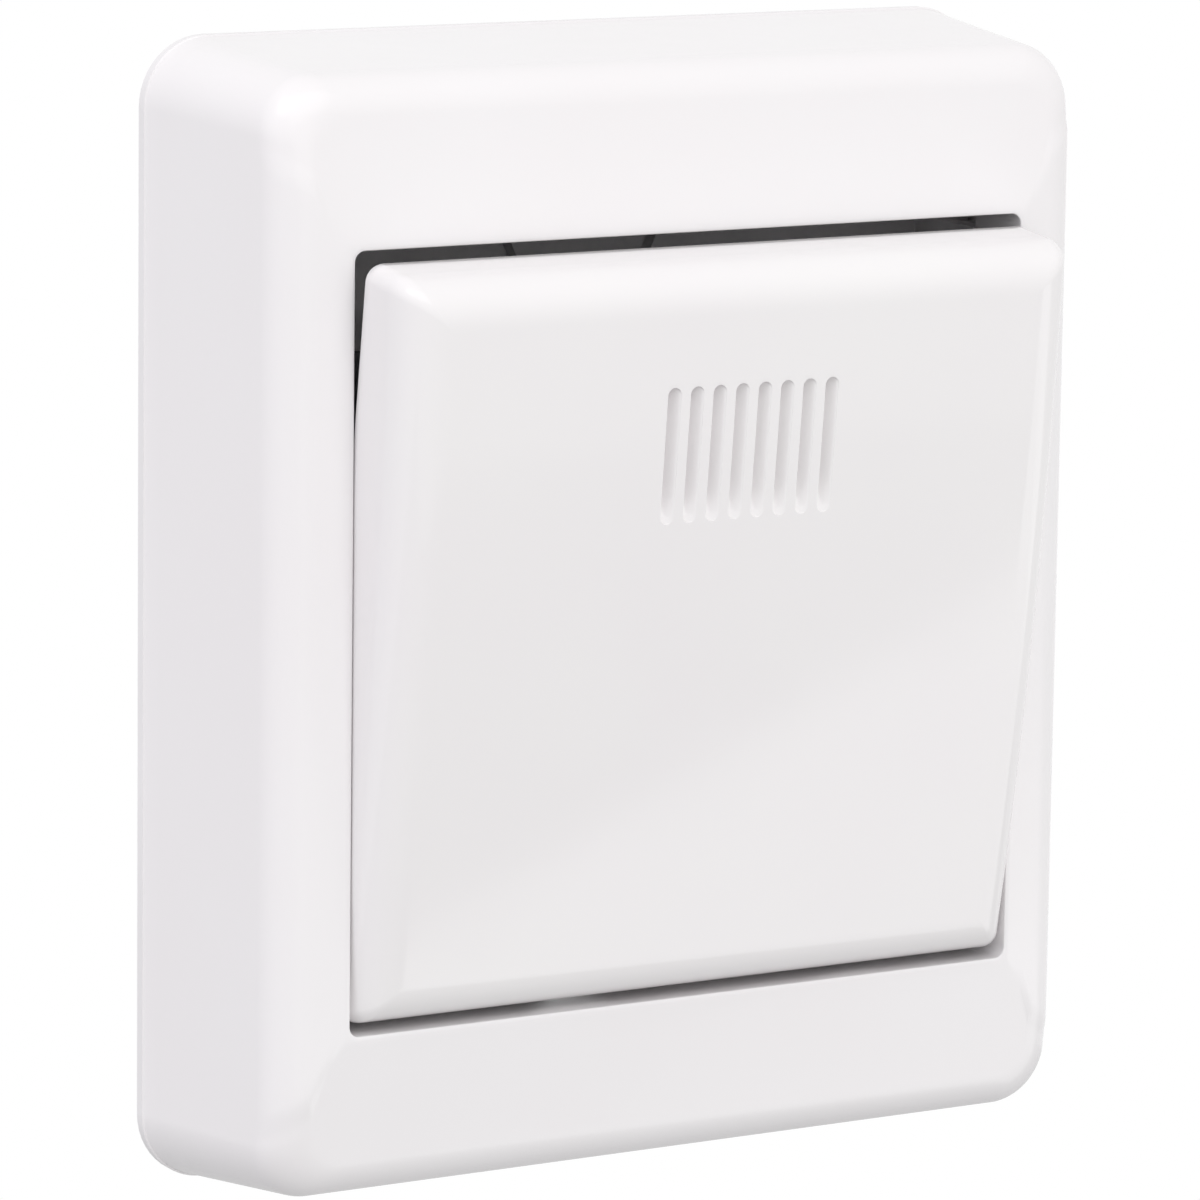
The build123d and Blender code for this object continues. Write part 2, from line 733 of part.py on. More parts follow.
def make_plunger_spring():
    """One unbroken wire, wound on quarter turns of the coil's own line."""
    low = plunger_top + spring_end_gap + spring_wire / 2
    high = bore_above_axis - spring_end_gap - spring_wire / 2
    quarters = 4 * spring_turns
    climb = (high - low) / quarters

    def place(number):
        angle = number * math.pi / 2
        return Vector(spring_radius * math.cos(angle), spring_radius * math.sin(angle), low + number * climb)

    def way(number):
        angle = number * math.pi / 2
        rise = climb * 2 / math.pi
        return Vector(-spring_radius * math.sin(angle), spring_radius * math.cos(angle), rise).normalized()

    arcs = []
    for number in range(quarters):
        arcs += biarc(place(number), way(number), place(number + 1), way(number + 1))
    path = Wire([edge for arc in arcs for edge in arc.edges()])
    section = Plane(origin=place(0), z_dir=way(0)) * Circle(spring_wire / 2)
    print("Least gap between the spring's turns:", round(4 * climb - spring_wire, 3), "mm")
    return tilted(sweep(section, path=path))


# Indicator lamp

def make_glow_lamp():
    bulb = cross_pin(lamp_radius, groove_x - lamp_length / 2, lamp_end, lamp_up, lamp_height)
    bulb = fillet(bulb.edges().group_by(Axis.X)[0], lamp_radius * 0.6)
    bore = lamp_radius - lamp_glass
    return bulb - cross_pin(bore, groove_x - lamp_length / 2 + lamp_radius, lamp_end + margin, lamp_up,
                            lamp_height)


def make_lamp_electrodes():
    """Two rods on the bead that closes the bulb."""
    bead_left = lamp_end - bead_thickness
    bead = cross_pin(lamp_radius - lamp_glass - lamp_clearance, bead_left, lamp_end, lamp_up, lamp_height)
    rods = [cross_pin(electrode_radius, lamp_end - electrode_length, bead_left, y, lamp_height)
            for y in (lower_wire_y, upper_wire_y)]
    return bead + rods


def make_lamp_holder():
    floor = block(holder_length, holder_width, body_top, body_top + holder_floor, groove_x, lamp_up)
    saddles = [block(saddle_wall, holder_width, body_top, lamp_height - lamp_radius / 2,
                     groove_x + side * saddle_spacing / 2, lamp_up) for side in (-1, 1)]
    holder = floor + saddles
    return holder - cross_pin(lamp_radius + lamp_clearance, groove_x - lamp_length, groove_x + lamp_length,
                              lamp_up, lamp_height)


def lens_shape(radius, length):
    """A bar with a round top that stands on the mechanism body."""
    bar = block(length, 2 * radius, body_top, lamp_height, groove_x, lamp_up)
    roof = cross_pin(radius, groove_x - length / 2, groove_x + length / 2, lamp_up, lamp_height)
    below = block(length, 2 * radius, lamp_height - radius, lamp_height, groove_x, lamp_up)
    return bar + (roof - below)


def make_lamp_lens():
    lens = lens_shape(lens_outer, lens_length)
    hollow = lens_shape(lens_inner, lens_length - 2 * lens_wall)
    hollow += block(lens_length - 2 * lens_wall, 2 * lens_inner, body_top - margin, body_top, groove_x, lamp_up)
    wire_side = electrode_spacing / 2 + lead_radius + lens_gap / 3
    wire_slot = span_block(lens_end - margin, lens_end + margin, lamp_up - wire_side, lamp_up + wire_side,
                           body_top - margin, lamp_height + wire_side / 2)
    return lens - hollow - wire_slot


def wire_along(points):
    """A bare wire along straight runs with round bends."""
    bends = [lead_bend] * (len(points) - 2)
    path = FilletPolyline(*points, radius=bends) if bends else Line(*points)
    section = Plane(origin=points[0], z_dir=path % 0) * Circle(lead_radius)
    return sweep(section, path=path)


def make_lamp_leads():
    """Three stretches of wire: lamp to resistor, resistor to its terminal, lamp to the other terminal."""
    resistor_right = resistor_left + resistor_length
    turn_x = resistor_left + resistor_length / 3
    row_y = lamp_up + lead_row
    row_height = body_top + lead_lift + lead_radius
    first = [(lamp_end, lower_wire_y, lamp_height), (resistor_left, lower_wire_y, lamp_height)]
    second = [(resistor_right, lower_wire_y, lamp_height), (lead_x, lower_wire_y, lamp_height),
              (lead_x, lower_wire_y, block_top)]
    third = [(lamp_end, upper_wire_y, lamp_height), (turn_x, upper_wire_y, lamp_height),
             (turn_x, row_y, row_height), (-lead_x, row_y, row_height), (-lead_x, row_y, block_top)]
    return [wire_along(points) for points in (first, second, third)]


def make_lamp_resistor():
    body = cross_pin(resistor_radius, resistor_left, resistor_left + resistor_length, lower_wire_y, lamp_height)
    return fillet(body.edges(), resistor_radius / 3)


# Writing the pieces

pieces = {
    "cover": make_cover,
    "base_plate": make_base_plate,
    "cable_grommet": make_cable_grommet,
    "mechanism_body": make_mechanism_body,
    "mechanism_lid": make_mechanism_lid,
    "mechanism_screws": make_mechanism_screws,
    "lid_screws": make_lid_screws,
    "common_terminal": make_common_terminal,
    "upper_terminal": make_upper_terminal,
    "lower_terminal": make_lower_terminal,
    "lamp_terminal": make_lamp_terminal,
    "terminal_screws": make_terminal_screws,
    "fixed_contacts": make_fixed_contacts,
    "contact_bridge": make_contact_bridge,
    "moving_contacts": make_moving_contacts,
    "rocker": make_rocker,
    "rocker_carrier": make_rocker_carrier,
    "plunger": make_plunger,
    "plunger_spring": make_plunger_spring,
    "lamp_holder": make_lamp_holder,
    "glow_lamp": make_glow_lamp,
    "lamp_electrodes": make_lamp_electrodes,
    "lamp_leads": make_lamp_leads,
    "lamp_resistor": make_lamp_resistor,
    "lamp_lens": make_lamp_lens,
}


def stood_up(shape):
    """Turns a piece from lying on its back to hanging on the wall."""
    solids = shape if isinstance(shape, list) else [shape]
    return Compound(children=[Rot(90, 0, 0) * solid for solid in solids]) if len(solids) > 1 \
        else Rot(90, 0, 0) * solids[0]


os.makedirs("parts", exist_ok=True)
for name, make in pieces.items():
    export_step(stood_up(make()), "parts/" + name + ".step")
print("Whole piece count:", len(pieces))
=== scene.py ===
"""Looks for a surface-mounted rocker switch with an indicator lamp behind its rocker.

The part's frame is in metres: +X to the right, +Z up the wall and +Y into the wall, whose face lies at
Y = 0. The new pieces are worked out on the bench in millimetres as (right, up, out of the wall), and
are then stood up into the part's frame.
"""
import logging
import math
from dataclasses import dataclass
from enum import Enum

import bmesh
import bpy
import numpy as np
from mathutils import Matrix


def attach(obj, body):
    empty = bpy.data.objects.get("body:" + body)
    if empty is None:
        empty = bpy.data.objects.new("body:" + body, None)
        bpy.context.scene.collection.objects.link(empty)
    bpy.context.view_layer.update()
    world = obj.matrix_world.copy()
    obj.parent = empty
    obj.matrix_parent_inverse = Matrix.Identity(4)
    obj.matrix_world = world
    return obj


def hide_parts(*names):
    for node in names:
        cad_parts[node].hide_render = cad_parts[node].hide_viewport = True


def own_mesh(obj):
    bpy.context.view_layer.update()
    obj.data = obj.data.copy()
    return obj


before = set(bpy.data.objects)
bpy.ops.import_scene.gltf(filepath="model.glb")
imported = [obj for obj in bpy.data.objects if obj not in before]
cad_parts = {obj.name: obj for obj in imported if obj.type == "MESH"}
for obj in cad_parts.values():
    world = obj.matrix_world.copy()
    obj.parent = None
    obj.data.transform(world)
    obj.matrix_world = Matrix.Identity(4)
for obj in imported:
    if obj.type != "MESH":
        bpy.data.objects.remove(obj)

LOG = logging.getLogger("rocker_switch")
MM = 0.001
# Where a rounded edge's one middle ring lies, as a share of its radius from either wall.
BEVEL = 0.3
# Noise values between which a drift runs from its one end to its other.
NOISE_LOW, NOISE_HIGH = 0.3, 0.7
# Scales against the grain's: the length of drawing lines, the lathe's rings and the fine pits.
LINE_STRETCH, RING_SHARE, FINE_PITS = 24, 6, 2.3
# Scale of the roughness's smears against the drift's.
FINE_SMEARS = 2.6


# Colours and finishes


def linear(colour: str) -> tuple[float, float, float, float]:
    """Turns an sRGB hex colour to linear light, with an alpha of 1.

    Each channel c becomes c / 12.92 up to 0.04045, and ((c + 0.055) / 1.055) ** 2.4 above it.

    Args:
        colour: The colour as "#rrggbb".

    Returns:
        Red, green, blue and alpha, from 0 to 1.
    """
    channels = np.array([int(colour[i:i + 2], 16) for i in (1, 3, 5)]) / 255
    light = np.where(channels <= 0.04045, channels / 12.92, ((channels + 0.055) / 1.055) ** 2.4)
    return (*light.tolist(), 1.0)


def add_node(tree: bpy.types.NodeTree, kind: str, settings: dict | None = None,
             links: dict | None = None) -> bpy.types.Node:
    """Adds one node with its settings and its incoming links.

    Args:
        tree: The node tree of a material or of the world.
        kind: Blender's name of the node type.
        settings: Values by input name or number, or by the name of one of the node's own properties.
        links: Output sockets by input name or number.

    Returns:
        The new node.
    """
    node = tree.nodes.new(kind)
    for key, value in (settings or {}).items():
        if isinstance(key, str) and hasattr(node, key):
            setattr(node, key, value)
        else:
            node.inputs[key].default_value = value
    for key, socket in (links or {}).items():
        tree.links.new(socket, node.inputs[key])
    return node


def cleared(owner: bpy.types.Material | bpy.types.World) -> bpy.types.NodeTree:
    """Gives the owner an empty node tree.

    Args:
        owner: A new material or the world.

    Returns:
        Its node tree.
    """
    owner.use_nodes = True
    owner.node_tree.nodes.clear()
    return owner.node_tree


def drifting(tree: bpy.types.NodeTree, place: bpy.types.NodeSocket, scale: float, detail: float,
             low: float, high: float) -> bpy.types.NodeSocket:
    """Makes a value that drifts slowly over the surface with a noise n.

    It is low + (high - low) (n - n0) / (n1 - n0), held between low and high, where n0 and n1 are the lower
    and the upper noise value.

    Args:
        tree: The material's node tree.
        place: The surface point that the noise reads.
        scale: The noise's scale.
        detail: The noise's detail.
        low: The value where the noise is low.
        high: The value where it is high.

    Returns:
        The value's socket.
    """
    noise = add_node(tree, "ShaderNodeTexNoise", {"Scale": scale, "Detail": detail}, {"Vector": place})
    return add_node(tree, "ShaderNodeMapRange",
                    {"From Min": NOISE_LOW, "From Max": NOISE_HIGH, "To Min": low, "To Max": high},
                    {"Value": noise.outputs[0]}).outputs[0]


def placed(name: str, data: bpy.types.ID, axes: np.ndarray | None = None,
           place: tuple[float, float, float] = (0.0, 0.0, 0.0)) -> bpy.types.Object:
    """Links a new object into the scene.

    Args:
        name: The object's name.
        data: Its mesh, camera or lamp.
        axes: Its own axes as columns, or None for the part's.
        place: Its origin in metres.

    Returns:
        The new object.
    """
    pose = np.eye(4)
    pose[:3, :3], pose[:3, 3] = np.eye(3) if axes is None else axes, place
    made = bpy.data.objects.new(name, data)
    made.matrix_world = Matrix(pose.tolist())
    bpy.context.scene.collection.objects.link(made)
    return made


class Grain(Enum):
    """How the surface was made, which sets the fine relief."""

    POLISHED_MOULD = "orange peel of a polished mould"
    SPARKED_MOULD = "fine matte pits of a spark-eroded mould"
    DRAWN = "lines along the way the metal was drawn or rolled"
    TURNED = "rings from the lathe"
    CAST_SKIN = "soft skin of moulded rubber"
    BLOWN = "slow waves of blown glass"


@dataclass(frozen=True)
class Finish:
    """One real material and its surface, with sizes in millimetres."""

    name: str
    colour: str
    drift_colour: str
    grain: Grain
    roughness: float
    roughness_drift: float
    drift_size: float
    grain_size: float
    grain_height: float
    ior: float = 1.5
    metallic: float = 0.0
    coat: float = 0.0
    transmission: float = 0.0
    subsurface: float = 0.0

    def relief(self, tree: bpy.types.NodeTree, place: bpy.types.NodeSocket) -> bpy.types.NodeSocket:
        """Makes the height pattern of the grain, about 0 to 1.

        Args:
            tree: The material's node tree.
            place: The surface point in millimetres.

        Returns:
            The height's socket.
        """
        density, at = 1 / self.grain_size, {"Vector": place}
        if self.grain is Grain.DRAWN:
            stretch = {"Scale": (density, density, density / LINE_STRETCH)}
            pulled = add_node(tree, "ShaderNodeMapping", stretch, at).outputs["Vector"]
            return add_node(tree, "ShaderNodeTexNoise", {"Scale": 1.0, "Detail": 4.0},
                            {"Vector": pulled}).outputs[0]
        if self.grain is Grain.TURNED:
            return add_node(tree, "ShaderNodeTexWave",
                            {"wave_type": "RINGS", "rings_direction": "Y", "Scale": density / RING_SHARE,
                             "Distortion": 1.2, "Detail": 2.0}, at).outputs[1]
        if self.grain is Grain.SPARKED_MOULD:
            pits = add_node(tree, "ShaderNodeTexVoronoi",
                            {"feature": "SMOOTH_F1", "Scale": density, "Randomness": 1.0}, at)
            fine = add_node(tree, "ShaderNodeTexNoise", {"Scale": FINE_PITS * density, "Detail": 3.0}, at)
            return add_node(tree, "ShaderNodeMath", {"operation": "MULTIPLY"},
                            {0: pits.outputs[0], 1: fine.outputs[0]}).outputs[0]
        detail = 1.0 if self.grain is Grain.BLOWN else 2.5
        return add_node(tree, "ShaderNodeTexNoise", {"Scale": density, "Detail": detail, "Roughness": 0.45},
                        at).outputs[0]

    def material(self) -> bpy.types.Material:
        """Builds the node material, with drifting colour and roughness and the grain's relief.

        Returns:
            The new material.
        """
        made = bpy.data.materials.new(self.name)
        tree = cleared(made)
        metres = add_node(tree, "ShaderNodeTexCoord").outputs["Object"]
        place = add_node(tree, "ShaderNodeMapping", {"Scale": (1 / MM, 1 / MM, 1 / MM)},
                         {"Vector": metres}).outputs["Vector"]
        share = drifting(tree, place, 1 / self.drift_size, 3.0, 0.0, 1.0)
        colour = add_node(tree, "ShaderNodeMix",
                          {"data_type": "RGBA", 6: linear(self.colour), 7: linear(self.drift_colour)},
                          {"Factor": share}).outputs[2]
        roughness = drifting(tree, place, FINE_SMEARS / self.drift_size, 4.0,
                             self.roughness - self.roughness_drift, self.roughness + self.roughness_drift)
        normal = add_node(tree, "ShaderNodeBump", {"Strength": 1.0, "Distance": self.grain_height * MM},
                          {"Height": self.relief(tree, place)}).outputs["Normal"]
        settings = {"Metallic": self.metallic, "Coat Weight": self.coat, "Coat Roughness": 0.05,
                    "Transmission Weight": self.transmission}
        if not self.metallic:
            settings["IOR"] = self.ior
        if self.subsurface:
            settings |= {"Subsurface Weight": self.subsurface, "Subsurface Radius": (0.6, 0.5, 0.45),
                         "Subsurface Scale": MM}
        shader = add_node(tree, "ShaderNodeBsdfPrincipled", settings,
                          {"Base Color": colour, "Roughness": roughness, "Normal": normal})
        add_node(tree, "ShaderNodeOutputMaterial", links={"Surface": shader.outputs[0]})
        return made


# Injection-moulded ABS from a polished mould: near white, glossy, with a faint orange peel.
COVER_ABS = Finish("white_abs_cover", "#f1eeef", "#f2f0f1", Grain.POLISHED_MOULD, 0.23, 0.03, 26.0, 1.6,
                   0.0006, ior=1.54, coat=0.15)
# The same ABS from the rocker's own, finer polished mould: glossier than the cover.
ROCKER_ABS = Finish("white_abs_rocker", "#f1eeef", "#f2f0f0", Grain.POLISHED_MOULD, 0.08, 0.02, 22.0, 1.5,
                    0.0005, ior=1.54, coat=0.15)
# ABS from a spark-eroded mould for the base plate: satin, with fine matte pits.
BASE_ABS = Finish("satin_abs_base", "#f1eff0", "#ebe9ea", Grain.SPARKED_MOULD, 0.34, 0.06, 18.0, 0.32,
                  0.004, ior=1.54)
# Natural polyamide for the carrier and the plunger: milky and slightly waxy.
NATURAL_NYLON = Finish("natural_nylon", "#e3e0d6", "#d8d4c8", Grain.SPARKED_MOULD, 0.38, 0.06, 9.0, 0.22,
                       0.006, ior=1.53, subsurface=0.1)
# Glass-filled polyamide for the mechanism: grey and dull, with specks of fibre at its skin.
FILLED_NYLON = Finish("glass_filled_nylon", "#72757a", "#62656b", Grain.SPARKED_MOULD, 0.55, 0.08, 6.0, 0.18,
                      0.012, ior=1.53)
# Soft thermoplastic rubber for the cable grommet: dark, dull and slightly bloomed.
GROMMET_RUBBER = Finish("grommet_rubber", "#3a3b3d", "#4a4a4b", Grain.CAST_SKIN, 0.66, 0.1, 3.0, 0.25,
                        0.010, ior=1.52)
# Zinc-plated steel for the screws: pale bluish metal with turned heads.
ZINC_STEEL = Finish("zinc_plated_steel", "#c9ccd0", "#aeb2b9", Grain.TURNED, 0.30, 0.08, 2.0, 0.09, 0.003,
                    metallic=1.0)
# Bright spring steel wire: darker, with drawing lines along the wire.
SPRING_STEEL = Finish("drawn_spring_steel", "#a9abae", "#8e9094", Grain.DRAWN, 0.26, 0.06, 1.2, 0.06, 0.002,
                      metallic=1.0)
# Stamped brass for strips, clamp blocks and the contact bridge: yellow, rolled along its length.
STAMPED_BRASS = Finish("stamped_brass", "#d9b565", "#c79b4b", Grain.DRAWN, 0.30, 0.07, 3.5, 0.10, 0.004,
                       metallic=1.0)
# Fine silver for the contact rivets: very pale, slightly dulled by sulphide.
CONTACT_SILVER = Finish("contact_silver", "#e6e4df", "#cfcac1", Grain.TURNED, 0.27, 0.08, 1.0, 0.07, 0.002,
                        metallic=1.0)
# Tinned copper wire for the lamp's leads: grey-white and slightly wavy from the tin bath.
TINNED_COPPER = Finish("tinned_copper", "#cbc9c6", "#b3afab", Grain.DRAWN, 0.32, 0.08, 1.6, 0.08, 0.003,
                       metallic=1.0)
# Blown lamp glass: clear, with slow waves.
LAMP_GLASS = Finish("blown_lamp_glass", "#f6f7f6", "#eef2f0", Grain.BLOWN, 0.03, 0.02, 4.0, 1.8, 0.006,
                    ior=1.47, transmission=1.0)
# Clear polycarbonate for the lamp's lens: faintly grey, with moulding haze.
LENS_POLYCARBONATE = Finish("clear_polycarbonate", "#eef1f2", "#e4e9eb", Grain.POLISHED_MOULD, 0.08, 0.04,
                            5.0, 0.9, 0.003, ior=1.58, transmission=0.95)
# Lacquered ceramic tube for the resistor: tan, dipped and slightly uneven.
RESISTOR_LACQUER = Finish("resistor_lacquer", "#c9a877", "#bb9560", Grain.CAST_SKIN, 0.38, 0.08, 1.0, 0.35,
                          0.012, ior=1.55, coat=0.3)


# Surfaces


def stood_up(bench: np.ndarray) -> np.ndarray:
    """Turns bench points (right, up, out) in millimetres to the part's frame: (right, -out, up) in metres."""
    return np.stack([bench[..., 0], -bench[..., 2], bench[..., 1]], axis=-1) * MM


def rounded_paths(half_width: np.ndarray, half_height: np.ndarray, radius: np.ndarray,
                  shares: list[np.ndarray], corner_steps: int) -> np.ndarray:
    """Rounded rectangles with the same number of points each, counterclockwise from the right-hand side.

    Corner k has its middle at (±(a - r), ±(b - r)), and its points are middle + r (cos t, sin t), with t
    over the k-th quarter turn. The side after it is divided at the given shares of its length.

    Args:
        half_width: a of each ring.
        half_height: b of each ring.
        radius: r of each ring.
        shares: Where the top, left, bottom and right sides are divided, each from 0 to 1.
        corner_steps: Divisions of each corner.

    Returns:
        Points of shape (rings, points, 2).
    """
    half = np.stack(np.broadcast_arrays(half_width, half_height), axis=-1).reshape(-1, 1, 1, 2)
    radius = np.broadcast_to(radius, np.shape(half_width)).reshape(-1, 1, 1, 1)
    signs = np.array([[1, 1], [-1, 1], [-1, -1], [1, -1]]).reshape(1, 4, 1, 2)
    turn = np.radians(90) * (np.arange(4)[:, None] + np.linspace(0, 1, corner_steps + 1))
    corners = signs * (half - radius) + radius * np.stack([np.cos(turn), np.sin(turn)], axis=-1)
    following = np.roll(corners[:, :, :1], -1, axis=1)
    parts = []
    for side, share in enumerate(shares):
        first, last = corners[:, side, -1:], following[:, side]
        parts += [corners[:, side], first + (last - first) * share[None, :, None]]
    return np.concatenate(parts, axis=1)


def eased(steps: int) -> np.ndarray:
    """Inner divisions of a side that lie closer near its ends: (1 - cos(pi s)) / 2."""
    return ((1 - np.cos(np.pi * np.linspace(0, 1, steps + 1))) / 2)[1:-1]


def smooth(share: np.ndarray) -> np.ndarray:
    """Smooth step of a share q that is held to 0 to 1: q^2 (3 - 2 q)."""
    held = np.clip(share, 0, 1)
    return held ** 2 * (3 - 2 * held)


def arc_profile(middle: tuple[float, float], radius: float, start: float, end: float,
                steps: int) -> np.ndarray:
    """Points middle + radius (cos t, sin t) of a profile, with t in degrees from start to end."""
    turn = np.radians(np.linspace(start, end, steps + 1))
    return np.array(middle) + radius * np.stack([np.cos(turn), np.sin(turn)], axis=-1)


class Skin:
    """Gathers grids of bench points into one closed mesh."""

    def __init__(self, name: str) -> None:
        """Starts an empty mesh.

        Args:
            name: The piece's name.
        """
        self.name = name
        self.points: list[np.ndarray] = []
        self.faces: list[np.ndarray] = []
        self.count = 0

    def add(self, grid: np.ndarray, around: bool = False, along: bool = False) -> None:
        """Adds a grid of points as quads.

        Args:
            grid: Points of shape (rows, columns, 3).
            around: Whether the last column joins the first.
            along: Whether the last row joins the first.
        """
        rows, columns = grid.shape[:2]
        number = self.count + np.arange(rows * columns).reshape(rows, columns)
        if around:
            number = np.concatenate([number, number[:, :1]], axis=1)
        if along:
            number = np.concatenate([number, number[:1]], axis=0)
        corners = [number[:-1, :-1], number[:-1, 1:], number[1:, 1:], number[1:, :-1]]
        self.faces.append(np.stack(corners, axis=-1).reshape(-1, 4))
        self.points.append(grid.reshape(-1, 3))
        self.count += rows * columns

    def made(self, finish: Finish, slot: str, body: str, replaced: str,
             sharp: float = 38.0) -> bpy.types.Object:
        """Closes the seams, turns all faces outwards and hands the piece to its body.

        Args:
            finish: The piece's material.
            slot: The record's material slot; not used.
            body: The body that the piece rides on.
            replaced: The CAD node that it stands for.
            sharp: Edges that turn by more than these degrees stay crisp.

        Returns:
            The new object.
        """
        mesh = bpy.data.meshes.new(self.name)
        points, faces = np.concatenate(self.points), np.concatenate(self.faces)
        mesh.from_pydata(stood_up(points).tolist(), [], faces.tolist())
        shell = bmesh.new()
        shell.from_mesh(mesh)
        bmesh.ops.remove_doubles(shell, verts=shell.verts, dist=1e-6)
        bmesh.ops.dissolve_degenerate(shell, edges=shell.edges, dist=1e-7)
        bmesh.ops.recalc_face_normals(shell, faces=shell.faces)
        open_edges = sum(not edge.is_manifold for edge in shell.edges)
        shell.to_mesh(mesh)
        shell.free()
        mesh.shade_smooth()
        mesh.set_sharp_from_angle(angle=math.radians(sharp))
        mesh.materials.append(finish.material())
        piece = placed(self.name, mesh)
        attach(piece, body)
        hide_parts(replaced)
        LOG.info("%s: %d faces, %d open edges, rides on %s", self.name, len(mesh.polygons), open_edges, body)
        return piece


def rounded_bar(low: tuple[float, float, float], high: tuple[float, float, float], edge: float) -> np.ndarray:
    """A small bar with softened edges, as rings from its foot to its top that close in the middle.

    The rings are rounded rectangles. The profile runs in along the foot, round both level edges, whose
    middle ring lies at the bevel's share of the edge radius, and back to the middle of the top.

    Args:
        low: Its least right, up and out values.
        high: Its greatest ones.
        edge: Radius of its edges.

    Returns:
        Points of shape (rings, points, 3).
    """
    least = 1e-4
    low, high = np.array(low), np.array(high)
    middle, half = (low + high) / 2, (high - low) / 2
    reach, bevel = half[:2].min(), BEVEL * edge
    inset = np.array([reach, edge, bevel, 0, 0, bevel, edge, reach])
    out = np.array([low[2], low[2], low[2] + bevel, low[2] + edge,
                    high[2] - edge, high[2] - bevel, high[2], high[2]])
    flat = rounded_paths(half[0] - inset + least, half[1] - inset + least, np.clip(edge - inset, least, None),
                         [np.array([0.5])] * 4, 3)
    return raised(flat + middle[:2], out)


def raised(flat: np.ndarray, out: np.ndarray) -> np.ndarray:
    """Lifts flat rings of shape (rings, points, 2) each to a height of its own."""
    return np.concatenate([flat, np.broadcast_to(out[:, None, None], (*flat.shape[:2], 1))], axis=-1)


def span(side: int, near: float, far: float) -> tuple[float, float]:
    """The lower and the higher of two distances that are taken to one side of the middle."""
    return tuple(sorted((side * near, side * far)))


Kept = tuple[tuple[Finish, tuple[str, ...]], ...]


@dataclass
class SubAssembly:
    """A part of the switch, with its CAD nodes that keep their own shape grouped by their finish."""

    kept: Kept = ()

    def dress(self) -> None:
        """Gives each group of kept nodes one real material."""
        for finish, nodes in self.kept:
            material = finish.material()
            for name in nodes:
                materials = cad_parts[name].data.materials
                materials.clear()
                materials.append(material)
                LOG.info("%s: kept from the CAD part, now %s", name, finish.name)


# Housing


